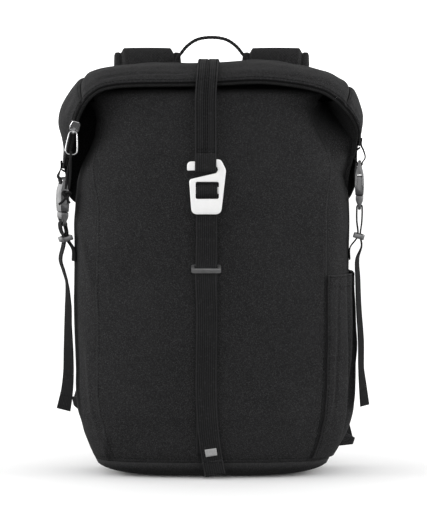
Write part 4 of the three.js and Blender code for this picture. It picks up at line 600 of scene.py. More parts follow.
# The bag's own shape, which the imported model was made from


@dataclass(frozen=True)
class BagSizes:
    """Named sizes of the bag in millimetres."""

    half_width: float = 166
    height: float = 463
    front_depth: float = 88
    back_depth: float = 72
    base_rise: float = 19
    base_flat: float = 0.52
    base_flat_back: float = 0.9
    front_roundness: float = 3.2
    back_roundness: float = 6
    front_seam: float = 0.825
    ridge_seam: float = 0.95
    back_seam: float = 0.88
    strap_line: float = -5.6


SECTIONS = SmoothTable(
    keys=(0.041, 0.08, 0.138, 0.184, 0.28, 0.44, 0.6, 0.69, 0.74, 0.785, 0.825, 0.865, 0.9, 0.935, 0.968),
    columns={
        "left": (
            0.849, 0.9, 0.952, 0.982, 0.993, 1, 0.998, 0.992, 0.982, 0.958, 0.912, 0.862, 0.842, 0.843, 0.884,
        ),
        "right": (0.861, 0.912, 0.958, 0.98, 0.994, 1, 1, 1, 0.985, 0.96, 0.915, 0.853, 0.8, 0.768, 0.8),
        "front": (
            0.818, 0.888, 0.945, 0.97, 0.99, 1, 0.996, 0.988, 0.977, 0.963, 0.945, 0.925, 0.905, 0.885, 0.862,
        ),
        "back": (0.93, 0.967, 0.99, 1, 1, 1, 1, 1, 1, 1, 1, 1, 1, 1, 1),
    },
)

FRONT_FOLDS = (
    Fold((-0.84, 0.46), (-0.97, 0.67), 2.6, 0.05),
    Fold((-0.8, 0.16), (-0.89, 0.36), 2.4, 0.05),
    Fold((-0.9, 0.05), (-0.83, 0.12), 2.0, 0.05),
    Fold((0.86, 0.52), (0.9, 0.72), 1.8, 0.05),
    Fold((-0.845, 0.5), (-0.955, 0.675), 1.9, 0.016),
    Fold((-0.875, 0.12), (-0.89, 0.33), 1.7, 0.016),
    Fold((-0.86, 0.045), (-0.835, 0.09), 3.0, 0.022),
)


@dataclass(frozen=True)
class BagOutline:
    """The surface that the bag's panels lie on: superellipses whose size changes with height."""

    sizes: BagSizes = BagSizes()

    def half_width(self, side: Array | float, z: Array | float) -> Array:
        """Half width at a height, on the left where side is negative."""
        rise = np.asarray(z, float) / self.sizes.height
        return self.sizes.half_width * np.where(
            np.asarray(side) < 0, SECTIONS.at("left", rise), SECTIONS.at("right", rise)
        )

    def front_depth(self, z: Array | float) -> Array:
        """Distance of the front from the widest plane at a height."""
        return self.sizes.front_depth * SECTIONS.at("front", np.asarray(z, float) / self.sizes.height)

    def back_depth(self, z: Array | float) -> Array:
        """Distance of the back from the widest plane at a height."""
        return self.sizes.back_depth * SECTIONS.at("back", np.asarray(z, float) / self.sizes.height)

    def point(self, z: Array, angle: Array) -> Array:
        """A point of the outline, x = w·cos^(2/n) and y = -d·sin^(2/n), with the folds added in front."""
        c, s = np.cos(angle), np.sin(angle)
        power = 2 / np.where(s >= 0, self.sizes.front_roundness, self.sizes.back_roundness)
        wide = self.half_width(c, z)
        deep = np.where(s >= 0, self.front_depth(z), self.back_depth(z))
        x = np.sign(c) * wide * np.abs(c) ** power
        y = -np.sign(s) * deep * np.abs(s) ** power
        rise = z / self.sizes.height
        lift = sum(f.at(x / wide, rise) for f in FRONT_FOLDS) * (s > 0)
        return np.stack(np.broadcast_arrays(x + lift * c, y - lift * s, z), axis=-1)

    def front_seam_angle(self, z: Array | float) -> Array:
        """Angle of the seam between front and side, which moves out to the corner under the ears."""
        out = smoothstep(np.asarray(z, float) / self.sizes.height, 0.68, 0.87)
        share = lerp(self.sizes.front_seam, self.sizes.ridge_seam, out)
        return np.arccos(share ** (self.sizes.front_roundness / 2))

    @property
    def back_seam_angle(self) -> float:
        """Angle of the seam between side and back, below the widest plane."""
        return math.acos(self.sizes.back_seam ** (self.sizes.back_roundness / 2))

    @property
    def top(self) -> float:
        """Height of the highest cross-section."""
        return SECTIONS.keys[-1] * self.sizes.height

    def panel(self, z: Array, start: Array | float, stop: Array | float, columns: int) -> Array:
        """Points of the outline at even spacing between two angles, row by row.

        Args:
            z: heights of the rows.
            start: angle at the first column.
            stop: angle at the last column.
            columns: number of steps across.

        Returns:
            A grid of points with half a seam's gap left at each end.
        """
        share = np.linspace(0, 1, 161)[None, :]
        first, last = (np.broadcast_to(np.asarray(a, float), z.shape)[:, None] for a in (start, stop))
        dense = self.point(z[:, None] + np.zeros_like(share), lerp(first, last, share))
        half, lengths = SEAM_GAP / 2, [run_length(row)[-1] for row in dense]
        return np.stack([
            respace(row, np.linspace(half, length - half, columns + 1)) for row, length in zip(dense, lengths)
        ])

    def outside(self, points: Array, clearance: Array | float) -> Array:
        """Points moved out of the bag where they are nearer to its outline than a clearance."""
        z = np.minimum(points[..., 2], self.top)
        front = points[..., 1] < 0
        power = np.where(front, self.sizes.front_roundness, self.sizes.back_roundness)
        wide = self.half_width(points[..., 0], z) + clearance
        deep = np.where(front, self.front_depth(z), self.back_depth(z)) + clearance
        inside = np.abs(points[..., 0] / wide) ** power + np.abs(points[..., 1] / deep) ** power
        free = (inside >= 1) | (points[..., 2] > self.top + CLOTH)
        out = np.where(free, 1.0, np.maximum(inside, 1e-9) ** (-1 / power))
        return points * np.stack([out, out, np.ones_like(out)], axis=-1)


LIP_LINE = (
    (-0.925, 0.672), (-0.95, 0.729), (-0.958, 0.781), (-0.93, 0.826), (-0.909, 0.86), (-0.891, 0.889),
    (-0.865, 0.92), (-0.826, 0.948), (-0.774, 0.971), (-0.715, 0.986), (-0.626, 0.995), (-0.497, 0.999),
    (-0.303, 1), (0, 1.002), (0.31, 1.007), (0.503, 1), (0.632, 0.991), (0.729, 0.979), (0.813, 0.958),
    (0.877, 0.933), (0.929, 0.905), (0.955, 0.88), (0.955, 0.838), (0.95, 0.782), (0.94, 0.729),
    (0.925, 0.672),
)
LEFT_TIP, RIGHT_TIP = 2, 22
HOOD_SECTION = SmoothTable(
    keys=(0, 1, 2, 3, 4, 5, 6, 7, 8),
    columns={
        "back": (0, 0.035, 0.16, 0.37, 0.57, 0.77, 0.92, 0.985, 1),
        "lift": (0, 0.25, 0.64, 0.94, 1, 0.82, 0.3, 0, 0),
        "drop": (0, 0, 0, 0, 0, 0, 0, 0.42, 1),
    },
)


@dataclass(frozen=True)
class HoodShape:
    """The mouth of the bag folded forward into a hood, from its lip over the crown to its back edge."""

    bag: BagOutline = BagOutline()
    half_width: float = 186
    lip_height: float = 473.4
    overhang: float = 8
    rise: float = 21.5
    back_lap: float = 38
    tip_setback: float = 34

    def lip(self, k: Array) -> Array:
        """Points of the lip at places numbered from the foot of the left ear to the foot of the right ear."""
        line = np.array([(a * self.half_width, 0.0, u * self.lip_height) for a, u in LIP_LINE])
        steps = 40
        dense = smooth_curve(line, (len(line) - 1) * steps)
        at = np.clip(np.asarray(k, float), 0, len(line) - 1) * steps
        place = np.arange(len(dense))
        return np.stack([np.interp(at, place, dense[:, n]) for n in range(3)], axis=-1)

    def outward(self, k: Array) -> Array:
        """Direction out of the hood, across the lip in the plane of the front."""
        along = unit(self.lip(np.asarray(k) + 0.5) - self.lip(np.asarray(k) - 0.5))
        return np.stack([-along[..., 2], np.zeros(along.shape[:-1]), along[..., 0]], axis=-1)

    def front(self, k: Array) -> Array:
        """Distance of the lip in front of the widest plane, less towards the tips."""
        middle = (LEFT_TIP + RIGHT_TIP) / 2
        out = np.abs(np.asarray(k) - middle) / (middle - LEFT_TIP)
        setback = self.tip_setback * smoothstep(out, 0.3, 1.05)
        return self.bag.front_depth(self.bag.top) + self.overhang - setback

    def point(self, k: Array, row: Array) -> Array:
        """A point of the hood's outer face at a place along the lip and a row of its section."""
        k, row = np.broadcast_arrays(np.asarray(k, float), np.asarray(row, float))
        full = smoothstep(k, LEFT_TIP - 0.5, LEFT_TIP + 3.6)
        full = full * (1 - smoothstep(k, RIGHT_TIP - 4, RIGHT_TIP + 0.2))
        lift = self.rise * HOOD_SECTION.at("lift", row) * full - self.back_lap * HOOD_SECTION.at("drop", row)
        points = self.lip(k) + self.outward(k) * lift[..., None]
        back_edge = self.bag.sizes.back_depth + CLOTH + 1.5
        points[..., 1] = lerp(-self.front(k), back_edge, HOOD_SECTION.at("back", row))
        layers = np.where(row < 4.8, 2, 1)
        return self.bag.outside(points, layers * (CLOTH + 1.2) + SEAM_GAP)

    def ear_end(self, side: int, row: Array) -> Array:
        """Place along the lip where an ear ends: at its tip in front and lower at the back."""
        down = smoothstep(row, 3, 7.4)
        return lerp(LEFT_TIP, 0, down) if side < 0 else lerp(RIGHT_TIP, len(LIP_LINE) - 1, down)

    def seam(self, side: int, row: Array) -> Array:
        """Place along the lip of the seam over a shoulder of the hood."""
        lip, crown = (6.9, 8.3) if side < 0 else (18.8, 18.1)
        return lerp(lip, crown, np.minimum(np.asarray(row, float) / 3.5, 1))


# Finishes


class Board:
    """Places nodes in a node tree and joins them."""

    def __init__(self, tree: bpy.types.NodeTree) -> None:
        """Keeps the tree that the nodes go into."""
        self.tree = tree

    def put(self, socket: Socket, value: object) -> None:
        """Joins a socket to another one, or sets it to a plain value."""
        if isinstance(value, Socket):
            self.tree.links.new(value, socket)
        else:
            socket.default_value = value

    def node(self, kind: str, settings: dict[str, object] | None = None, **inputs: object) -> bpy.types.Node:
        """A node of a kind, with its own settings and with inputs given by name."""
        made = self.tree.nodes.new(kind)
        for key, value in (settings or {}).items():
            setattr(made, key, value)
        for key, value in inputs.items():
            self.put(made.inputs[key.replace("_", " ")], value)
        return made

    def math(self, operation: str, *values: object) -> Socket:
        """The result of a sum on one to three values."""
        made = self.tree.nodes.new("ShaderNodeMath")
        made.operation = operation
        for socket, value in zip(made.inputs, values):
            self.put(socket, value)
        return made.outputs[0]

    def vector(self, operation: str, *values: object) -> bpy.types.Node:
        """A sum on vectors."""
        made = self.tree.nodes.new("ShaderNodeVectorMath")
        made.operation = operation
        for socket, value in zip(made.inputs, values):
            self.put(socket, value)
        return made

    def between(self, value: object, low: float, high: float, at_low: float, at_high: float) -> Socket:
        """A value moved from one range to another and kept inside it."""
        limits = {"From_Min": low, "From_Max": high, "To_Min": at_low, "To_Max": at_high}
        return self.node("ShaderNodeMapRange", {"clamp": True}, Value=value, **limits).outputs["Result"]

    def mix(self, amount: Socket, first: object, second: object) -> Socket:
        """A colour between two colours, each of them a socket or three numbers."""
        made = self.node("ShaderNodeMix", {"data_type": "RGBA"}, Factor=amount)
        for key, colour in (("A", first), ("B", second)):
            self.put(made.inputs[key], (*colour, 1.0) if isinstance(colour, tuple) else colour)
        return made.outputs["Result"]

    def chance(self, place: Socket) -> Socket:
        """A value by chance for each whole place of a plane."""
        return self.node("ShaderNodeTexWhiteNoise", {"noise_dimensions": "2D"}, Vector=place).outputs["Value"]

    def scaled(self, place: Socket, scale: tuple[float, float, float]) -> Socket:
        """A place with its three parts scaled."""
        return self.node("ShaderNodeMapping", Vector=place, Scale=scale).outputs[0]


def new_group(
    name: str, inputs: dict[str, tuple[str, object]], outputs: Sequence[str]
) -> tuple[Board, dict[str, Socket], bpy.types.Node]:
    """A shader node group with named inputs and outputs.

    Args:
        name: the group's name.
        inputs: socket kind and default for each input.
        outputs: names of the value outputs.

    Returns:
        The board to build on, the group's input sockets by name, and its output node.
    """
    tree = bpy.data.node_groups.new(name, "ShaderNodeTree")
    for key, (kind, default) in inputs.items():
        socket = tree.interface.new_socket(key, in_out="INPUT", socket_type=kind)
        if default is not None:
            socket.default_value = default
    for key in outputs:
        tree.interface.new_socket(key, in_out="OUTPUT", socket_type="NodeSocketFloat")
    start, end = tree.nodes.new("NodeGroupInput"), tree.nodes.new("NodeGroupOutput")
    return Board(tree), {key: start.outputs[key] for key in inputs}, end


class PatternShop:
    """Builds the node groups that the finishes share, each one once. Scales are counted per metre."""

    SLUB_SCALE = (1500.0, 90.0, 1.0)
    FLECK_SCALE = (1800.0, 1800.0, 1.0)
    FLECK_POWER = 5.0

    def __init__(self) -> None:
        """Builds the four groups."""
        self.weave = self.plain_weave()
        self.ribs = self.webbing_ribs()
        self.grain = self.fine_grain()
        self.wear = self.worn_cloth()

    @staticmethod
    def plain_weave() -> bpy.types.NodeTree:
        """Canvas: crossing threads that pass over and under, each crossing with a tone of its own."""
        board, given, end = new_group(
            "plain_weave",
            {"Surface": ("NodeSocketVector", None), "Threads": ("NodeSocketFloat", 1600.0)},
            ("Height", "Tone", "Fleck"),
        )
        counted = board.node("ShaderNodeVectorMath", {"operation": "SCALE"})
        board.put(counted.inputs[0], given["Surface"])
        board.put(counted.inputs["Scale"], given["Threads"])
        parts = board.node("ShaderNodeSeparateXYZ", Vector=counted.outputs[0])
        warp = board.math("SINE", board.math("MULTIPLY", parts.outputs["X"], math.pi))
        weft = board.math("SINE", board.math("MULTIPLY", parts.outputs["Y"], math.pi))
        over = board.math("MULTIPLY", warp, weft)
        board.put(end.inputs["Height"], board.math("MULTIPLY_ADD", over, 0.5, 0.5))
        own = board.chance(board.vector("FLOOR", counted.outputs[0]).outputs[0])
        streak = board.scaled(given["Surface"], PatternShop.SLUB_SCALE)
        flat = {"noise_dimensions": "2D"}
        slub = board.node("ShaderNodeTexNoise", flat, Vector=streak, Scale=1.0, Detail=2.0).outputs[0]
        tone = board.math("ADD", board.math("MULTIPLY", own, 0.6), board.math("MULTIPLY", slub, 0.4))
        board.put(end.inputs["Tone"], tone)
        spots = board.vector("FLOOR", board.scaled(given["Surface"], PatternShop.FLECK_SCALE))
        fleck = board.math("POWER", board.chance(spots.outputs[0]), PatternShop.FLECK_POWER)
        board.put(end.inputs["Fleck"], fleck)
        return board.tree

    @staticmethod
    def webbing_ribs() -> bpy.types.NodeTree:
        """Webbing: ribs along the band, crossed by fine picks that shift by half a step from rib to rib."""
        count = "NodeSocketFloat"
        inputs = {"Surface": ("NodeSocketVector", None), "Ribs": (count, 620.0), "Picks": (count, 900.0)}
        board, given, end = new_group("webbing_ribs", inputs, ("Height", "Tone", "Fleck"))
        parts = board.node("ShaderNodeSeparateXYZ", Vector=given["Surface"])
        rib = board.math("MULTIPLY", parts.outputs["X"], given["Ribs"])
        odd = board.math("MULTIPLY", board.math("FLOOR", rib), 0.5)
        pick = board.math("ADD", board.math("MULTIPLY", parts.outputs["Y"], given["Picks"]), odd)
        ridge = board.math("ABSOLUTE", board.math("SINE", board.math("MULTIPLY", rib, math.pi)))
        step = board.math("ABSOLUTE", board.math("SINE", board.math("MULTIPLY", pick, math.pi)))
        crossed = board.math("MULTIPLY_ADD", step, 0.5, 0.5)
        board.put(end.inputs["Height"], board.math("MULTIPLY", ridge, crossed))
        cell = board.node("ShaderNodeCombineXYZ", X=board.math("FLOOR", rib), Y=board.math("FLOOR", pick))
        chance = board.chance(cell.outputs[0])
        # Lighter on the crests of the ribs and picks and darker between them: painted shade, added to a
        # random tone for each cell.
        woven = board.math("MULTIPLY_ADD", ridge, 0.35, board.math("MULTIPLY", step, 0.4))
        board.put(end.inputs["Tone"], board.math("MULTIPLY_ADD", chance, 0.25, woven))
        board.put(end.inputs["Fleck"], board.between(chance, 0.9, 1.0, 0.0, 0.3))
        return board.tree

    @staticmethod
    def fine_grain() -> bpy.types.NodeTree:
        """Grain of metal or moulded plastic: fine noise for its surface, broad noise for handling marks."""
        inputs = {"Scale": ("NodeSocketFloat", 900.0)}
        board, given, end = new_group("fine_grain", inputs, ("Height", "Marks"))
        place = board.node("ShaderNodeTexCoord").outputs["Object"]
        fine = board.node("ShaderNodeTexNoise", Vector=place, Scale=given["Scale"], Detail=3.0, Roughness=0.6)
        broad = board.node("ShaderNodeTexNoise", Vector=place, Scale=70.0, Detail=4.0, Roughness=0.65)
        board.put(end.inputs["Height"], fine.outputs[0])
        board.put(end.inputs["Marks"], board.between(broad.outputs[0], 0.4, 0.7, 0.0, 1.0))
        return board.tree

    @staticmethod
    def worn_cloth() -> bpy.types.NodeTree:
        """Handling of cloth: broad changes of tone and a light fading where the surface stands proud."""
        board, given, end = new_group("worn_cloth", {"Scale": ("NodeSocketFloat", 9.0)}, ("Shade", "Fade"))
        place = board.node("ShaderNodeTexCoord").outputs["Object"]
        grain = {"Scale": given["Scale"], "Detail": 4.0, "Roughness": 0.55}
        broad = board.node("ShaderNodeTexNoise", Vector=place, **grain)
        board.put(end.inputs["Shade"], board.between(broad.outputs[0], 0.3, 0.7, 0.0, 1.0))
        proud = board.node("ShaderNodeNewGeometry").outputs["Pointiness"]
        board.put(end.inputs["Fade"], board.between(proud, 0.51, 0.6, 0.0, 1.0))
        return board.tree


Colour = tuple[float, float, float]
Dress = tuple[Socket, Socket, Socket]
SHEEN_ROUGHNESS, COAT_ROUGHNESS = 0.45, 0.2
MARKS_ROUGHER, VALLEYS_ROUGHER, RIDGES_SMOOTHER = 0.12, 0.08, 0.06
WEAR_SHARE, FADE_SHARE = 0.25, 0.35


def grey(value: float, blue: float | None = None) -> Colour:
    """A grey, with a blue part of its own where one is given."""
    return value, value, value if blue is None else blue


class Pattern(Enum):
    """Which shared pattern a finish is woven or formed with."""

    WEAVE = "weave"
    RIBS = "ribs"
    GRAIN = "grain"


@dataclass(frozen=True)
class Finish:
    """A finish: its pattern, its colours and how it takes the light. Only woven ones show the fleck."""

    name: str
    slot: str
    pattern: Pattern
    dark: Colour
    light: Colour
    fleck: Colour = (1.0, 1.0, 1.0)
    pitch: float = 1600.0
    picks: float = 900.0
    depth: float = 0.00025
    strength: float = 0.5
    roughness: float = 0.85
    metallic: float = 0.0
    sheen: float = 0.0
    coat: float = 0.0
    specular: float = 0.06

    def formed(self, board: Board, shop: PatternShop) -> Dress:
        """Colour, height and roughness of metal or plastic with its handling marks."""
        group = board.node("ShaderNodeGroup", {"node_tree": shop.grain}, Scale=self.pitch)
        marks = group.outputs["Marks"]
        rough = board.between(marks, 0.0, 1.0, self.roughness, self.roughness + MARKS_ROUGHER)
        return board.mix(marks, self.light, self.dark), group.outputs["Height"], rough

    def woven(self, board: Board, shop: PatternShop) -> Dress:
        """Colour, height and roughness of cloth or webbing with its flecks, its fading and painted shade in
        the weave's valleys.
        """
        surface = board.node("ShaderNodeUVMap", {"uv_map": "surface"}).outputs[0]
        if self.pattern is Pattern.WEAVE:
            tree, counts = shop.weave, {"Threads": self.pitch}
        else:
            tree, counts = shop.ribs, {"Ribs": self.pitch, "Picks": self.picks}
        group = board.node("ShaderNodeGroup", {"node_tree": tree}, Surface=surface, **counts)
        wear = board.node("ShaderNodeGroup", {"node_tree": shop.wear})
        height = group.outputs["Height"]
        # The colour is lighter where the weave's threads stand raised and darker in its valleys: painted
        # shade in the weave's hollows, on top of the threads' own random tone.
        raised = board.math("MULTIPLY", board.math("ADD", group.outputs["Tone"], height), 0.5)
        thread = board.math("MULTIPLY", raised, 1 - WEAR_SHARE)
        tone = board.math("MULTIPLY_ADD", wear.outputs["Shade"], WEAR_SHARE, thread)
        faded = board.math("MULTIPLY", wear.outputs["Fade"], FADE_SHARE)
        flecked = board.math("MAXIMUM", group.outputs["Fleck"], faded)
        colour = board.mix(flecked, board.mix(tone, self.dark, self.light), self.fleck)
        ends = (self.roughness + VALLEYS_ROUGHER, self.roughness - RIDGES_SMOOTHER)
        return colour, height, board.between(raised, 0.0, 1.0, *ends)

    def material(self, shop: PatternShop) -> bpy.types.Material:
        """The material of this finish, built on the shared patterns.

        Args:
            shop: holds the shared node groups.

        Returns:
            The finished material.
        """
        made = bpy.data.materials.new(self.name)
        made.use_nodes = True
        board = Board(made.node_tree)
        shader = made.node_tree.nodes["Principled BSDF"]
        dress = self.formed if self.pattern is Pattern.GRAIN else self.woven
        colour, height, rough = dress(board, shop)
        relief = board.node("ShaderNodeBump", Height=height, Distance=self.depth, Strength=self.strength)
        for key, value in (
            ("Base Color", colour), ("Roughness", rough), ("Normal", relief.outputs[0]),
            ("Metallic", self.metallic), ("Specular IOR Level", self.specular),
            ("Sheen Weight", self.sheen), ("Sheen Roughness", SHEEN_ROUGHNESS),
            ("Coat Weight", self.coat), ("Coat Roughness", COAT_ROUGHNESS),
        ):
            board.put(shader.inputs[key], value)
        return made


class Look(Enum):
    """The finishes of this backpack."""

    CANVAS = Finish(
        "black_canvas", "canvas", Pattern.WEAVE, grey(0.0065, 0.0067), grey(0.028, 0.0287),
        grey(0.057, 0.058), pitch=1500, sheen=0.01, roughness=0.9,
    )
    LINING = Finish(
        "inner_canvas", "canvas", Pattern.WEAVE, grey(0.005, 0.0052), grey(0.012, 0.0125), grey(0.03),
        pitch=1700, sheen=0.01, roughness=0.9, specular=0.1,
    )
    STRAP = Finish(
        "ribbed_webbing", "webbing", Pattern.RIBS, grey(0.002, 0.0021), grey(0.032, 0.033),
        grey(0.045, 0.046), pitch=400, picks=560, depth=0.0006, strength=0.8, sheen=0.01,
    )
    # Darker than the centre strap's webbing: partly its own colour and partly painted shade, standing for the
    # shade that the side straps hang in.
    HERRINGBONE = Finish(
        "side_webbing", "webbing", Pattern.RIBS, grey(0.001, 0.0011), grey(0.015, 0.0155),
        grey(0.03, 0.031), pitch=400, picks=560, depth=0.0005, sheen=0.01,
    )
    PADDING = Finish(
        "spacer_mesh", "padding", Pattern.WEAVE, grey(0.004, 0.0042), grey(0.026, 0.0267), grey(0.04),
        pitch=560, depth=0.0006, strength=0.8, sheen=0.01, roughness=0.9,
    )
    TAPE = Finish(
        "zip_tape", "zip_tape", Pattern.RIBS, grey(0.002, 0.0021), grey(0.009, 0.0092), grey(0.02),
        pitch=900, picks=1300,
    )
    COIL = Finish(
        "zip_coil", "zip_tape", Pattern.GRAIN, grey(0.006, 0.0062), grey(0.012, 0.0123),
        roughness=0.5, depth=0.00005, specular=0.2,
    )
    CORD = Finish(
        "braided_cord", "cord", Pattern.RIBS, grey(0.002, 0.0021), grey(0.024, 0.0246), grey(0.04),
        pitch=1050, picks=800, depth=0.0004, strength=0.8,
    )
    THREAD = Finish(
        "sewing_thread", "canvas", Pattern.GRAIN, grey(0.002, 0.0021), grey(0.006, 0.0062),
        pitch=2600, roughness=0.8, depth=0.0001,
    )
    WHITE_METAL = Finish(
        "white_coated_metal", "hook_metal", Pattern.GRAIN, grey(0.93, 0.925), grey(0.97, 0.965),
        pitch=1500, roughness=0.3, depth=0.00002, strength=0.25, coat=0.25, specular=0.5,
    )
    GREY_METAL = Finish(
        "satin_grey_metal", "grey_metal", Pattern.GRAIN, grey(0.1, 0.102), grey(0.19, 0.193),
        pitch=1300, roughness=0.34, metallic=0.85, depth=0.00004, strength=0.3, specular=0.3,
    )
    BRIGHT_METAL = Finish(
        "polished_zip_metal", "zip_metal", Pattern.GRAIN, grey(0.4, 0.405), grey(0.58, 0.585),
        pitch=1300, roughness=0.2, metallic=1.0, depth=0.00003, strength=0.25, specular=0.3,
    )
    WIRE_METAL = Finish(
        "bright_grey_metal", "grey_metal", Pattern.GRAIN, grey(0.42, 0.425), grey(0.6, 0.605),
        pitch=1300, roughness=0.28, metallic=0.9, depth=0.00004, strength=0.3, specular=0.3,
    )
    LABEL = Finish(
        "woven_label", "label", Pattern.WEAVE, grey(0.3), grey(0.46), grey(0.5),
        pitch=2600, roughness=0.7, specular=0.3,
    )
    PLASTIC = Finish(
        "moulded_plastic", "plastic", Pattern.GRAIN, grey(0.008), grey(0.016, 0.0165),
        pitch=1800, roughness=0.42, depth=0.00006, strength=0.4, specular=0.5,
    )


class Workshop:
    """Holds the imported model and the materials, and fits each finished piece to its body."""

    def __init__(self, frame: dict) -> None:
        """Keeps the frame and builds the shared patterns.
        """
        self.nodes: dict[str, Piece] = frame["nodes"]
        self.shop = PatternShop()
        self.materials: dict[Look, bpy.types.Material] = {}

    def material(self, look: Look) -> bpy.types.Material:
        """The material of a finish, made at its first use."""
        if look not in self.materials:
            self.materials[look] = look.value.material(self.shop)
        return self.materials[look]

    def fit(
        self, piece: Piece, look: Look, nodes: Sequence[str] = (), body: str = "bag"
    ) -> Piece:
        """Gives a piece its finish and its body, and lets it stand for CAD nodes.

        Args:
            piece: the finished piece.
            look: its finish.
            nodes: the CAD nodes that it replaces.
            body: the body that it rides on.

        Returns:
            The piece.
        """
        piece.data.materials.clear()
        piece.data.materials.append(self.material(look))
        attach(piece, body)
        if nodes:
            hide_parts(*nodes)
        log.info("%s: %d faces, %s, on %s", piece.name, len(piece.data.polygons), look.value.name, body)
        return piece


# Working with surfaces, stitches and placed groups


def over_grid(grid: Array, rows: Array | float, columns: Array | float) -> tuple[Array, Array]:
    """Points and outward directions of a grid of points, read between its rows and columns.

    Args:
        grid: the surface's points.
        rows: fractional rows to read at.
        columns: fractional columns to read at.

    Returns:
        The points and the unit directions out of the surface.
    """
    rows, columns = np.broadcast_arrays(np.asarray(rows, float), np.asarray(columns, float))
    i = np.clip(np.floor(rows).astype(int), 0, grid.shape[0] - 2)
    j = np.clip(np.floor(columns).astype(int), 0, grid.shape[1] - 2)
    a, b = (rows - i)[:, None], (columns - j)[:, None]
    read = [
        lerp(lerp(v[i, j], v[i, j + 1], b), lerp(v[i + 1, j], v[i + 1, j + 1], b), a)
        for v in (grid, grid_normals(grid))
    ]
    return read[0], unit(read[1])


@dataclass(frozen=True)
class Thread:
    """A row of stitches: their spacing and the size of one of them."""

    pitch: float = 4.4
    length: float = 3.3
    width: float = 0.65
    height: float = 0.55

    def places(self, route: Array, out: Array) -> tuple[Array, Array, Array]:
        """Middles, directions and outward directions of the stitches along one route."""
        run = run_length(route)
        at = np.arange(self.pitch / 2, run[-1], self.pitch)
        both = np.concatenate([route, np.broadcast_to(out, route.shape)], axis=1)
        read = np.stack([np.interp(at, run, both[:, k]) for k in range(6)], axis=1)
        return read[:, :3], travel(read[:, :3]), unit(read[:, 3:])

    def sew(self, name: str, rows: Sequence[tuple[Array, Array]]) -> Piece:
        """One piece with the stitches of several rows, each given as a route and its outward directions."""
        sewn = [self.places(route, out) for route, out in rows]
        middles, along, out = (np.concatenate(part) for part in zip(*sewn))
        return scatter_beads(name, middles, along, out, (self.length, self.width, self.height))


@dataclass(frozen=True)
class Group:
    """A place in the frame: an origin and three unit directions, with lengths in millimetres."""

    origin: Array
    basis: Array

    def world(self, local: Array) -> Array:
        """Points of the group in the frame: origin + x·X + y·Y + z·Z."""
        return self.origin + np.asarray(local, float) @ self.basis

    def turned(self, local: Array) -> Array:
        """Directions of the group in the frame."""
        return np.asarray(local, float) @ self.basis

    def matrix(self) -> Matrix:
        """The group as a matrix whose position is in millimetres."""
        made = Matrix(self.basis.T.tolist()).to_4x4()
        made.translation = Vector(self.origin.tolist())
        return made


def about_z(origin: Sequence[float], degrees: float) -> Group:
    """A group turned about the vertical by an angle."""
    c, s = math.cos(math.radians(degrees)), math.sin(math.radians(degrees))
    return Group(np.asarray(origin, float), np.array([[c, s, 0.0], [-s, c, 0.0], [0.0, 0.0, 1.0]]))


def cushion_mesh(name: str, top: Array, bottom: Array) -> Piece:
    """A solid between two grids of points that share their border."""
    rows, columns = top.shape[:2]
    index = np.arange(rows * columns).reshape(rows, columns)
    under = index.copy()
    under[1:-1, 1:-1] = rows * columns + np.arange((rows - 2) * (columns - 2)).reshape(rows - 2, columns - 2)
    points = np.concatenate([top.reshape(-1, 3), bottom[1:-1, 1:-1].reshape(-1, 3)])
    arcs = grid_arcs(top)
    uv = np.concatenate([arcs.reshape(-1, 2), arcs[1:-1, 1:-1].reshape(-1, 2)])
    quad = [under[:-1, :-1], under[1:, :-1], under[1:, 1:], under[:-1, 1:]]
    return write_mesh(name, points, [grid_faces(rows, columns), np.stack(quad, axis=-1).reshape(-1, 4)], uv)


@dataclass
class Assembly:
    """What all the sub-assemblies share: the workshop, the bag's shape and the sewing thread."""

    shop: Workshop
    bag: BagOutline = BagOutline()
    hood: HoodShape = HoodShape()
    thread: Thread = Thread()

    def facing(self, z: Array | float, out: Array | float) -> Array:
        """Place in front of the middle of the front panel at a height."""
        return -self.bag.front_depth(np.maximum(z, SECTIONS.keys[0] * self.bag.sizes.height)) - out

    def copy_hard(self, node: str, name: str, radius: float, look: Look, body: str = "bag") -> None:
        """Stands a copy with rounded edges in for a hard node."""
        self.shop.fit(rounded_copy(self.shop.nodes[node], name, radius), look, [node], body)


# The canvas bag


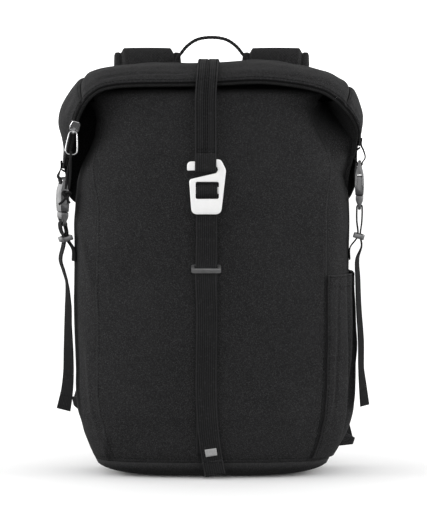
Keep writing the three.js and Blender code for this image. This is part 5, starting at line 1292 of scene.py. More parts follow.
@dataclass
class BodyShell(Assembly):
    """The bag's own panels, with the folds and the stitching that they keep."""

    front_size: tuple[int, int] = (190, 210)
    side_size: tuple[int, int] = (92, 180)
    back_size: tuple[int, int] = (100, 110)
    back_thickness: float = 6
    base_steps: int = 96
    turn_steps: int = 8
    stitch_inset: float = 2.2
    ripple: Ripple = Ripple(seed=7, longest=190, shortest=42, height=1.25)
    fine: Ripple = Ripple(seed=12, longest=34, shortest=11, height=0.16)
    pucker: float = 0.3
    pucker_length: float = 10.5
    pucker_reach: float = 6
    front_roll: tuple[tuple[float, float, float, float], ...] = (
        (0.99, 0.835, 0.905, 0.85),
        (1.0, 0.74, 0.88, 0.85),
        (1.006, 0.4, 0.77, 0.77),
        (1.03, -0.06, 0.67, 0.67),
    )
    side_tuck: tuple[tuple[float, float, float], ...] = ((0.974, 0.9, 0.88), (0.988, 0.72, 0.7))
    soft_folds: tuple[Fold, ...] = (
        Fold((0.79, 0.5), (0.84, 0.8), 1.5, 0.03),
        Fold((0.93, 0.3), (0.9, 0.56), 1.6, 0.022),
        Fold((0.99, 0.86), (0.86, 0.94), 2.2, 0.04),
        Fold((-0.62, 0.08), (-0.8, 0.3), 1.0, 0.06),
        Fold((0.55, 0.1), (0.74, 0.3), 0.9, 0.06),
        Fold((-0.3, 0.85), (-0.75, 0.93), 1.0, 0.07),
        Fold((0.35, 0.85), (0.7, 0.93), 1.0, 0.07),
    )

    def up_and_over(
        self,
        start: Callable[[Array], Array],
        stop: Callable[[Array], Array],
        columns: int,
        rows: int,
        over: Callable[[Array], Array],
    ) -> Array:
        """Rows of the outline up to its top, then a smooth run through the rows that turn in.

        Args:
            start: gives the first column's angle at a height.
            stop: gives the last column's angle at a height.
            columns: steps across.
            rows: steps up.
            over: gives the rows that turn in, from the topmost row.

        Returns:
            The grid of points.
        """
        low = SECTIONS.keys[0] * self.bag.sizes.height + SEAM_GAP
        high = self.bag.top + SEAM_GAP
        near = high - np.array([20.0, 14.0, 7.0, 0.0])
        heights = np.concatenate([np.linspace(low, high - 14, rows)[:-1], near])
        grid = self.bag.panel(heights, start(heights), stop(heights), columns)
        controls = np.concatenate([grid[-len(near) :], over(grid[-1])])
        turned = smooth_curve(controls, self.turn_steps * (len(controls) - 1))
        return np.concatenate([grid[: -len(near)], turned[self.turn_steps :]])

    def rolled_front(self, top: Array) -> Array:
        """Rows of the front's top as it turns back under the hood."""
        size = self.bag.sizes
        share = np.linspace(-1, 1, len(top))
        depth_top = -top[len(top) // 2, 1]
        rows = []
        for rise, depth, left, right in self.front_roll:
            x = size.half_width * size.ridge_seam * np.where(share < 0, left, right) * share
            y = np.maximum(top[:, 1] + depth_top - depth * size.front_depth, -depth * size.front_depth)
            rows.append(np.stack([x, y, np.full_like(x, size.height * rise)], axis=-1))
        return np.stack(rows)

    def tucked_side(self, top: Array) -> Array:
        """Rows of a side's top as it leans in under the hood."""
        height = self.bag.sizes.height
        return np.stack([
            np.stack([top[:, 0] * wide, top[:, 1] * deep, np.full(len(top), height * rise)], axis=-1)
            for rise, wide, deep in self.side_tuck
        ])

    def relief(self, grid: Array, seed: int, calm: Array | float = 1.0) -> Array:
        """Moves a panel along its normals by the cloth's unevenness.

        The broad waves die out within a few centimetres of a seam. Beside the seam the cloth puckers in short
        waves along it, sin(2πs / length), that fall off as exp(-d / reach).
        """
        arcs = grid_arcs(grid) / METRES
        across, up = arcs[..., 0], arcs[..., 1]
        edge = np.minimum(across - across[:, :1], across[:, -1:] - across)
        foot = up - up[:1]
        inside = smoothstep(np.minimum(edge, foot), 1, 30)
        broad = replace(self.ripple, seed=seed).at(across, up)
        wobble = 1.5 * self.fine.at(up, across) / self.fine.height
        puckers = sum(
            np.sin(2 * math.pi * place / self.pucker_length + wobble)
            * np.exp(-away / self.pucker_reach)
            * smoothstep(away, 0, 3)
            for place, away in ((up, edge), (across, foot))
        )
        lift = (broad + self.fine.at(across, up)) * inside * calm + self.pucker * puckers
        return grid + grid_normals(grid) * lift[..., None]

    def front_grid(self) -> Array:
        """The front panel with its folds, calmer behind the centre strap."""
        seam = self.bag.front_seam_angle
        grid = self.up_and_over(lambda z: math.pi - seam(z), seam, *self.front_size, self.rolled_front)
        rise = grid[..., 2] / self.bag.sizes.height
        share = grid[..., 0] / self.bag.sizes.half_width
        calm = 1 - 0.92 * bump(grid[..., 0], self.bag.sizes.strap_line, 24)
        under_hood = 1 - smoothstep(grid[..., 2], self.bag.top - 4, self.bag.top + 8)
        edge = 1 - smoothstep(np.abs(np.linspace(-1, 1, grid.shape[1])), 0.965, 1.0)
        folds = sum(f.at(share, rise) for f in self.soft_folds) * under_hood * edge
        creased = grid + grid_normals(grid) * folds[..., None]
        return self.relief(creased, 7, calm * under_hood * smoothstep(rise, 0.04, 0.12))

    def side_grid(self, side: int) -> Array:
        """A side panel, calmer where the strap's hardware lies on it."""
        seam, back = self.bag.front_seam_angle, self.bag.back_seam_angle
        if side > 0:
            grid = self.up_and_over(seam, lambda z: np.full_like(z, -back), *self.side_size, self.tucked_side)
        else:
            start, stop = (lambda z: np.full_like(z, math.pi + back)), (lambda z: math.pi - seam(z))
            grid = self.up_and_over(start, stop, *self.side_size, self.tucked_side)
        calm = 1 - 0.9 * bump(grid[..., 1], -31, 22) * smoothstep(grid[..., 2], 20, 60)
        below_top = 1 - smoothstep(grid[..., 2], self.bag.top - 20, self.bag.top)
        return self.relief(grid, 19 + side, calm * below_top)

    def base_grid(self) -> Array:
        """The base: flat on the floor in the middle and curved up to its seam.

        A square of places (u, v) is drawn out to the rim along rays, so that its middle has no pole. With s
        the larger of |u| and |v|, a point is s times the rim's point in its direction, and it rises as
        1 - √(1 - t²).
        """
        size, n = self.bag.sizes, self.base_steps + 1
        u, v = np.meshgrid(np.linspace(-1, 1, n), np.linspace(1, -1, n))
        share, a, b = rim_rays(u, v)
        reach = rim_reach(a, b, np.where(b < 0, size.front_roundness, size.back_roundness))
        seam = SECTIONS.keys[0] * size.height
        x = self.bag.half_width(a, seam) * a * reach
        y = np.where(b < 0, self.bag.front_depth(seam), self.bag.back_depth(seam)) * b * reach
        flat = lerp(size.base_flat, size.base_flat_back, smoothstep(y / size.back_depth, 0.3, 0.9))
        out = np.maximum(share - flat, 0) / (1 - flat)
        z = (size.base_rise - SEAM_GAP) * (1 - np.sqrt(np.maximum(1 - out * out, 0)))
        return np.stack([x * share, y * share, z], axis=-1)

    def build(self) -> None:
        """Makes the five panels and sews them."""
        front, left, right = self.front_grid(), self.side_grid(-1), self.side_grid(1)
        back_angle, size = self.bag.back_seam_angle, self.bag.sizes
        foot = SECTIONS.keys[0] * size.height
        heights = np.linspace(foot + SEAM_GAP, self.bag.top + SEAM_GAP, self.back_size[1])
        start = np.full_like(heights, -back_angle)
        back = self.bag.panel(heights, start, back_angle - math.pi + 0 * start, self.back_size[0])
        fit = self.shop.fit
        fit(cloth_sheet("front_cloth", front), Look.CANVAS, ["front_panel"])
        fit(cloth_sheet("left_side_cloth", left), Look.CANVAS, ["side_panel_left"])
        fit(cloth_sheet("right_side_cloth", right), Look.CANVAS, ["side_panel_right"])
        fit(cloth_sheet("back_cloth", back, self.back_thickness), Look.CANVAS, ["back_panel"])
        fit(cloth_sheet("base_cloth", self.base_grid()), Look.CANVAS, ["base_panel"])
        rise = np.linspace(1, self.front_size[1] - 6, 240)
        along = np.linspace(1, self.front_size[0] - 1, 240)
        aside, inset = np.linspace(1, self.side_size[0] - 1, 120), self.stitch_inset
        rows = [over_grid(front, rise, inset), over_grid(front, rise, self.front_size[0] - inset)]
        rows += [over_grid(front, inset, along)] + [over_grid(side, inset, aside) for side in (left, right)]
        fit(self.thread.sew("body_stitches", rows), Look.THREAD)


@dataclass
class HoodShell(Assembly):
    """The folded mouth: the hood with its two ears, and the layer inside it."""

    rows: int = 84
    centre_columns: int = 230
    ear_columns: int = 84
    seam_gap: float = 0.045
    hem_inset: float = 4.5
    ripple: Ripple = Ripple(seed=31, longest=120, shortest=26, height=1.1)
    dip: float = 1.7

    def relief(self, grid: Array, seed: int, seams: tuple[bool, bool]) -> Array:
        """Moves a part of the hood along its normals by its unevenness and the dips beside its sewn ends."""
        arcs = grid_arcs(grid) / METRES
        across, up = arcs[..., 0], arcs[..., 1]
        broad = replace(self.ripple, seed=seed).at(across, up)
        strap = self.bag.sizes.strap_line
        calm = (1 - bump(grid[..., 0], strap, 26)) * smoothstep(up, 3, 22) * smoothstep(up[-1] - up, 3, 22)
        ends = (across - across[:, :1], across[:, -1:] - across)
        lift = broad * calm
        for end, sewn in zip(ends, seams):
            if sewn:
                lift = lift * smoothstep(end, 0, 22) - self.dip * np.exp(-end / 2.6) + 0.5 * bump(end, 7, 4)
            else:
                lift = lift * smoothstep(end, 0, 14)
        crease = 2.0 * bump(up, 17 + 0.03 * (across + 120), 5) * smoothstep(across, -150, -120)
        lift = lift - crease * (1 - smoothstep(across, -40, 10)) * calm * (seams[0] and seams[1])
        return grid + grid_normals(grid) * lift[..., None]

    def part(self, start: Array, stop: Array, columns: int, rows: Array) -> Array:
        """Points of the hood between two places along its lip, which may change from row to row."""
        share = np.linspace(0, 1, columns + 1)[None]
        return self.hood.point(lerp(start[:, None], stop[:, None], share), rows[:, None])

    def build(self) -> None:
        """Makes the hood, the ears, the inner layer and their stitching."""
        rows = np.linspace(0, 8, self.rows + 1)
        left, right = self.hood.seam(-1, rows), self.hood.seam(1, rows)
        gap = self.seam_gap * (0.1 + 0.9 * smoothstep(rows, 0.4, 1.4) * (1 - smoothstep(rows, 3.6, 4.4)))
        centre = self.part(left + gap, right - gap, self.centre_columns, rows)
        left_ear = self.part(self.hood.ear_end(-1, rows), left - gap, self.ear_columns, rows)
        right_ear = self.part(right + gap, self.hood.ear_end(1, rows), self.ear_columns, rows)
        centre = self.relief(centre, 31, (True, True))
        left_ear = self.relief(left_ear, 37, (False, True))
        right_ear = self.relief(right_ear, 43, (True, False))
        fit = self.shop.fit
        fit(cloth_sheet("hood_cloth", centre), Look.CANVAS, ["hood"])
        fit(cloth_sheet("left_ear_cloth", left_ear), Look.CANVAS, ["ear_left"])
        fit(cloth_sheet("right_ear_cloth", right_ear), Look.CANVAS, ["ear_right"])
        inner_rows = np.linspace(0.6, 4.2, 40)
        whole = np.ones_like(inner_rows)
        inner = self.part(whole * (LEFT_TIP + 0.15), whole * (RIGHT_TIP - 0.15), 160, inner_rows)
        inner = inner - grid_normals(inner) * (CLOTH + 1.1)
        fit(cloth_sheet("mouth_lining", inner), Look.LINING, ["mouth_layer"])
        hemmed = (centre, left_ear, right_ear)
        sewn = [over_grid(grid, self.hem_inset, np.linspace(1, grid.shape[1] - 2, 300)) for grid in hemmed]
        level = np.linspace(3, self.rows - 3, 120)
        sewn += [over_grid(left_ear, level, self.ear_columns - 2.5), over_grid(right_ear, level, 2.5)]
        sewn += [over_grid(left_ear, level, 3.0), over_grid(right_ear, level, self.ear_columns - 3.0)]
        fit(self.thread.sew("hood_stitches", sewn), Look.THREAD)


@dataclass
class PitWeb(Assembly):
    """The pleat of cloth between the front's right edge and the ear, which closes the hollow there.

    Each row gives a height on the front's edge, the pleat's deepest place (x, y, z), and the place along the
    lip where the pleat ends. The rows below the ear end at a place (x, y, z) of their own, in low_ends.
    """

    rows: tuple[tuple[float, float, float, float, float], ...] = (
        (338, 158, -26, 344, 22), (358, 162, -26, 365, 22), (378, 167, -29, 388, 22),
        (397, 169, -27, 403, 22),
        (411, 161, -14, 415, 21), (424, 153, 2, 427, 20), (437, 145, 16, 439, 19), (446, 138, 24, 449, 18),
    )
    low_ends: tuple[tuple[float, float, float], ...] = ((163, -25, 346), (166.5, -28, 367), (171, -38, 386))
    tuck: float = 5

    def build(self) -> None:
        """Makes the pleat as one smooth sheet."""
        table = np.array(self.rows)
        z, k = table[:, 0], table[:, 4]
        edge = self.bag.point(z, self.bag.front_seam_angle(z)) + [0.6, 1.6, 0.0]
        end = self.hood.lip(k) - self.hood.outward(k) * self.tuck
        end[:, 1] = 1.0 - self.hood.front(k)
        end[: len(self.low_ends)] = self.low_ends
        lines = smooth_curve(np.stack([edge, table[:, 1:4], end], axis=1), 110)
        inner, outer = np.linspace(0, 1, 34)[None, :, None], np.linspace(0, 1, 27)[None, 1:, None]
        halves = lerp(lines[:, :1], lines[:, 1:2], inner), lerp(lines[:, 1:2], lines[:, 2:], outer)
        grid = np.concatenate(halves, axis=1)
        belly = np.concatenate([np.sin(math.pi * inner[0, :, 0]), 0.6 * np.sin(math.pi * outer[0, :, 0])])
        lift = 1.6 * belly * np.sin(math.pi * np.linspace(0.08, 0.9, 111))[:, None]
        grid = grid + grid_normals(grid) * lift[..., None]
        self.shop.fit(cloth_sheet("right_pit_web", grid, 1.0), Look.CANVAS)


# The zip, its puller and its cord


@dataclass
class ZipRun(Assembly):
    """The zip along the lip, with its slider, the wire puller and the knotted cord."""

    width: float = 6.5
    thickness: float = 1.4
    coil_pitch: float = 1.45
    tooth: tuple[float, float, float] = (3.4, 1.15, 1.1)
    plate: float = 2
    lug_radius: float = 3.1
    lug_drop: float = -4.5
    wire: float = 1.7
    length: float = 27
    top_width: float = 8.5
    bottom_width: float = 15
    cord: float = 3
    knot_width: float = 13
    knot_height: float = 12
    loop: tuple[tuple[float, float, float], ...] = (
        (-1.9, 1.2, 44.2), (-1.9, 1.4, 38), (-1.8, 1.0, 31), (-1.6, -0.6, 24), (-1.1, -3.0, 17),
        (-0.6, -5.2, 11.5),
        (-0.2, -5.9, 6.6), (0, -4.3, 2.1), (0, 0, 0), (0, 4.3, 2.1), (0.2, 5.9, 6.6), (0.6, 5.4, 11.5),
        (1.1, 4.0, 17), (1.6, 2.4, 24), (1.8, 1.6, 31), (1.9, 1.4, 38), (1.9, 1.2, 44.2),
    )

    def centre(self, k: Array) -> Array:
        """Middle of the zip at a place along the lip."""
        points = self.hood.lip(k) - self.hood.outward(k) * (self.width / 2 + SEAM_GAP)
        points[..., 1] = -self.hood.front(k) - self.thickness / 2 - SEAM_GAP
        return points

    def slider_group(self) -> Group:
        """Place of the slider, turned to the zip's run."""
        place = LEFT_TIP + 3
        ends = self.centre(np.array([place - 0.35, place + 0.35, place]))
        run = unit(ends[1] - ends[0])
        back = unit(BACKWARD - run * run[1])
        out = self.thickness / 2 + TOUCH_GAP + 0.3 + self.plate / 2
        return Group(ends[2] - back * out, np.stack([np.cross(back, run), back, run]))

    def puller_group(self) -> Group:
        """Place of the puller's top bar in the slider's lug."""
        slider = self.slider_group()
        pivot = slider.world(np.array([0.0, 0.6 - self.plate / 2 - self.lug_radius, self.lug_drop]))
        run = slider.basis[2]
        turn = math.atan2(run[0], run[2]) * 0.4
        c, s = math.cos(turn), math.sin(turn)
        return Group(pivot, np.array([[c, 0.0, -s], [0.0, 1.0, 0.0], [s, 0.0, c]]))

    def build(self) -> None:
        """Makes the tape, the coil, the slider, the puller and the cord."""
        k = np.linspace(LEFT_TIP + 0.6, RIGHT_TIP - 0.3, 320)
        route = self.centre(k)
        across = np.cross(travel(route), BACKWARD)
        fit = self.shop.fit
        band_line = route + [0.0, 0.3, 0.0] - unit(across) * 0.65
        tape = webbing_band("zip_tape_band", band_line, across, self.width - 1.3, self.thickness * 0.6)
        fit(tape, Look.TAPE, ["zip"])
        low = route - unit(across) * self.width * 0.2 - [0.0, self.thickness * 0.28, 0.0]
        run = run_length(low)
        places = respace(low, np.arange(self.coil_pitch, run[-1], self.coil_pitch))
        width = unit(np.cross(travel(places), BACKWARD))
        front = np.broadcast_to(FORWARD, places.shape)
        coil = scatter_beads("zip_coil_teeth", places, width, front, self.tooth)
        fit(coil, Look.COIL)
        self.copy_hard("zip_slider", "slider_body", 0.35, Look.BRIGHT_METAL)
        self.hang_puller()

    def hang_puller(self) -> None:
        """Makes the wire puller, the loop of cord over its lower bar and the knot."""
        group, fit = self.puller_group(), self.shop.fit
        top, bottom, long = self.top_width / 2, self.bottom_width / 2, self.length
        half = [
            (0, 0), (top * 0.6, 0), (top, -1.6), (top + 1.2, -8), (bottom - 0.6, 7 - long),
            (bottom - 0.8, 3 - long), (bottom - 3.4, 0.3 - long), (0, -long),
        ]
        corners = half + [(-x, z) for x, z in reversed(half[1:-1])]
        wire = smooth_curve(np.array([(x, 0.0, z) for x, z in corners]), 112, closed=True)
        puller = wire_mesh("puller_wire", group.world(wire), self.wire / 2, closed=True)
        fit(puller, Look.BRIGHT_METAL, ["zip_puller"], "puller")
        bar = Group(group.world(np.array([0.0, 0.0, -long])), group.basis)
        over = self.cord / 2 + self.wire / 2 + TOUCH_GAP
        local = np.array([(side, -front, over - drop) for side, front, drop in self.loop])
        cord_route = bar.world(smooth_curve(local, 96))
        cord = wire_mesh("pull_cord_loop", cord_route, self.cord / 2, 14)
        fit(cord, Look.CORD, ["pull_cord"], "puller")
        knot_top = over - self.loop[0][2] - TOUCH_GAP
        knot_place = Group(bar.world(np.array([0.0, -self.loop[0][1], knot_top])), group.basis)
        t = np.linspace(0, 2 * math.pi, 120, endpoint=False)
        wide = (self.knot_width - self.cord) / 6
        tall = (self.knot_height - 0.5 - self.cord) / 6
        turns = np.stack([
            wide * (np.sin(t) + 2 * np.sin(2 * t)),
            2.1 * np.sin(3 * t),
            tall * (np.cos(t) - 2 * np.cos(2 * t)) - self.knot_height * 0.5,
        ], axis=-1)
        knot = wire_mesh("knot_turns", knot_place.world(turns), self.cord / 2, closed=True)
        fit(knot, Look.CORD, ["cord_knot"], "puller")
        for name, lean, long in (("left", 38, 1.1), ("right", -34, 0.75)):
            reach = self.knot_height * long
            share = np.linspace(0, 1, 20)
            angle = np.radians(lean) * (0.55 + 0.45 * share)
            down = -0.7 * self.knot_height - np.cos(angle) * reach * share
            path = np.stack([-np.sin(angle) * reach * share, 0 * share, down], axis=-1)
            radius = self.cord / 2 * (1 - 0.12 * bump(share, 1.0, 0.08))
            tail = wire_mesh(f"knot_tail_{name}", knot_place.world(path), radius)
            fit(tail, Look.CORD, (), "puller")
        length = float(run_length(cord_route)[-1]) * METRES
        exit_point = tuple((bar.world(np.array([0.0, 0.0, -20.0])) * METRES).tolist())


# The centre strap and its open hook


@dataclass
class CentreStrap(Assembly):
    """The strap over the hood, the hook on it, and the strap that holds the hook down."""

    width: float = 25
    hook_width: float = 45.9
    hook_height: float = 64.9
    hook_thickness: float = 4.2
    hook_centre: float = 349
    hook_side: float = -5
    strap_side: float = -6.8
    hook_plane: float = -97.6
    bar_thickness: float = 1.6
    bar_height: float = 8
    slot_height: float = 20
    slot_drop: float = 0.065
    keeper_height: float = 252
    keeper_out: float = 6.8
    tail_out: float = 4.4
    end_height: float = 5
    end_tab: float = 19
    label_size: tuple[float, float] = (13.5, 10)
    long_seams: tuple[float, ...] = (-10.3, -1.9, 1.9, 10.3)
    cross_seams: tuple[float, ...] = (389.5, 393.5)
    hook_outline: tuple[tuple[float, float, float], ...] = (
        (-0.516, 0.296, 1.5), (0.16, 0.296, 1), (0.235, 0.372, 1.5), (0.28, 0.315, 1.4), (0.235, 0.25, 1.4),
        (-0.466, 0.135, 3.5), (-0.4, -0.5, 7), (0.355, -0.5, 7), (0.484, 0.31, 3), (0.35, 0.5, 4),
        (0.17, 0.5, 1.2),
        (0.13, 0.462, 1.2), (-0.516, 0.462, 5.5),
    )
    tail_sway: tuple[tuple[float, float], ...] = (
        (0.98, -2), (0.8, -0.5), (0.6, -1), (0.42, -1.4), (0.24, 1), (0.13, 4.5), (0.02, 9.5),
    )

    def over_hood(self) -> Array:
        """Middle line of the upper strap, from the back of the hood over it and down to the hook's arm."""
        k = (LEFT_TIP + RIGHT_TIP) / 2 + 1
        rows = np.linspace(0, 8, 17)
        grid = self.hood.point(k + np.array([[-0.4, 0.0, 0.4]]), rows[:, None])
        lifted = grid + grid_normals(grid) * (WEBBING + TOUCH_GAP + 0.9)
        over = lifted[::-1, 1].copy()
        over[-3:, 1] -= 0.9 * np.arange(1, 4)
        over = over[1:]
        over[:, 0] = lerp(self.hook_side + 4, self.strap_side + 1, np.arange(len(over)) / len(over))
        lip, seam = self.hood.lip_height, self.arm_height + self.arm_thick / 2 + 10
        down = [
            (self.strap_side, self.hook_plane + 2, lerp(lip, seam, 0.22)),
            (self.strap_side, self.hook_plane, lerp(lip, seam, 0.6)),
            (self.strap_side, self.hook_plane, seam),
        ]
        return smooth_curve(np.concatenate([over, np.array(down, float)]), 180)

    @property
    def arm_height(self) -> float:
        """Height of the middle of the hook's arm."""
        return self.hook_centre + self.hook_height * 0.38

    @property
    def arm_thick(self) -> float:
        """Height of the hook's arm from edge to edge."""
        return self.hook_height * 0.17

    def loop(self) -> Array:
        """Middle line of the strap's loop round the hook's arm."""
        out = self.hook_thickness / 2 + TOUCH_GAP + WEBBING / 2
        down = self.arm_thick / 2 + TOUCH_GAP + WEBBING / 2
        half = [
            (0.82, 17), (0.9, 15), (0.72 * out, 11.5), (0.98 * out, 7), (out, 2), (out, -0.55 * down),
            (0.75 * out, -0.93 * down), (0, -down),
        ]
        whole = [(-y, z) for y, z in half] + [(y, z) for y, z in reversed(half[:-1])]
        points = [(self.strap_side, self.hook_plane + y, self.arm_height + z) for y, z in whole]
        return smooth_curve(np.array(points, float), 90)

    def hook(self) -> None:
        """The open hook: an arm above a tapering gap, and a slot with a recessed bar."""
        size = (self.hook_width, self.hook_height)
        outer = rounded_outline([(x * size[0], y * size[1], cut) for x, y, cut in self.hook_outline])
        drop = -self.slot_drop * self.hook_height
        slot = rounded_rectangle(self.width + 2.4, self.slot_height, 2.4) + [0.0, drop]
        place = Group(np.array([self.hook_side, self.hook_plane, self.hook_centre]), UPRIGHT)
        body = plate_mesh("hook_body", [outer, slot], self.hook_thickness, 0.9, place.matrix())
        self.shop.fit(body, Look.WHITE_METAL, ["open_hook"])
        step_back = (self.hook_thickness - self.bar_thickness) / 2
        inset = np.array([0.0, step_back, drop])
        seat = Group(place.origin + inset, UPRIGHT)
        shape = rounded_rectangle(self.width + 3, self.bar_height, 0.5)
        bar = plate_mesh("hook_bar", [shape], self.bar_thickness, 0.5, seat.matrix())
        self.shop.fit(bar, Look.WHITE_METAL)

    def lower_routes(self) -> tuple[Array, Array]:
        """Middle lines of the lower strap, from its anchor round the hook's bar, and of its loose end."""
        x, facing = self.hook_side - 0.6, self.facing
        back = self.hook_plane + self.hook_thickness / 2
        front = back - self.bar_thickness
        bar = self.hook_centre - self.slot_drop * self.hook_height
        half, away, keep = self.bar_height / 2, TOUCH_GAP + WEBBING / 2, self.keeper_height
        rear = [
            (x, facing(30, away + 0.7), 30), (x, facing(60, away + 0.7), 60),
            (x, facing(110, away + 0.4), 110), (x, facing(180, away + 0.7), 180),
            (x, facing(keep, self.keeper_out - 1.2), keep - 6),
            (x, facing(keep, self.keeper_out - 1), keep + 8), (x, back + 2.1 + away, bar - 22),
            (x, back + away + 1.2, bar - 3), (x, back + away + 0.8, bar + half),
            (x, (back + front) / 2, bar + half + away + 0.8), (x, front - away - 0.2, bar + half - 0.6),
            (x, front - away - 0.2, bar - half + 0.6), (x, front + 0.5, bar - half - away - 0.9),
            (x, back + away, bar - half - 4.2),
        ]
        hang = [(x, back + away, bar - 19), (x - 0.6, facing(keep, self.keeper_out + 1), keep + 10)]
        for up, aside in self.tail_sway:
            out = lerp(self.tail_out, self.keeper_out + 1, smoothstep(up, 0.7, 1))
            hang.append((self.hook_side + aside, facing(up * keep, out), max(up * keep, self.end_height)))
        return smooth_curve(np.array(rear, float), 190), smooth_curve(np.array(hang, float), 150)

    def on_tail(self, hang: Array, thickness: float, high: float, low: float) -> Array:
        """Middle line of a flat piece on the front of the loose end, between two heights."""
        part = hang[(hang[:, 2] < high) & (hang[:, 2] > low)]
        out = (WEBBING + thickness) / 2 + TOUCH_GAP + 0.3
        return part - unit(np.cross(RIGHTWARD, travel(part))) * out

    def build(self) -> None:
        """Makes the two straps, the hook, the keeper, the label and their stitching."""
        fit, side = self.shop.fit, RIGHTWARD
        over, loop = self.over_hood(), self.loop()
        strap = webbing_band("hook_strap_band", over, side, self.width, 2 * WEBBING, Band.FOLDED)
        fit(strap, Look.STRAP, ["hook_strap"])
        fit(webbing_band("hook_strap_loop", loop, side, self.width), Look.STRAP)
        self.hook()
        rear, hang = self.lower_routes()
        lower = webbing_band("lower_strap_band", np.concatenate([rear, hang]), side, self.width)
        fit(lower, Look.STRAP, ["lower_strap"])
        self.copy_hard("strap_keeper", "strap_keeper_frame", 0.8, Look.WIRE_METAL)
        top = self.end_height + self.end_tab
        tab = self.on_tail(hang, WEBBING, top, 0)
        fit(webbing_band("strap_end_tab", tab, side, self.width), Look.STRAP, ["strap_end_fold"])
        label = self.on_tail(hang, 0.9, top + 4 + self.label_size[1], top + 4)
        fit(webbing_band("plain_label", label, side, self.label_size[0], 0.9), Look.LABEL, ["strap_label"])
        wide, thick = ring_frames(over, side)
        rows = [(over + wide * w + thick * (WEBBING + STITCH_LIFT), thick) for w in self.long_seams]
        steps = np.linspace(-11, 11, 30)[:, None]
        for height in self.cross_seams:
            start = np.array([self.strap_side, self.hook_plane - WEBBING - 0.1, height])
            rows.append((start + steps * side, FORWARD))
        wide, thick = ring_frames(tab, side)
        for share in (0.15, 0.85):
            at = int(share * (len(tab) - 1))
            rows.append((tab[at] + steps * side + thick[at] * (WEBBING / 2 + STITCH_LIFT), thick[at]))
        fit(self.thread.sew("strap_stitches", rows), Look.THREAD)


# The side straps and the side pocket


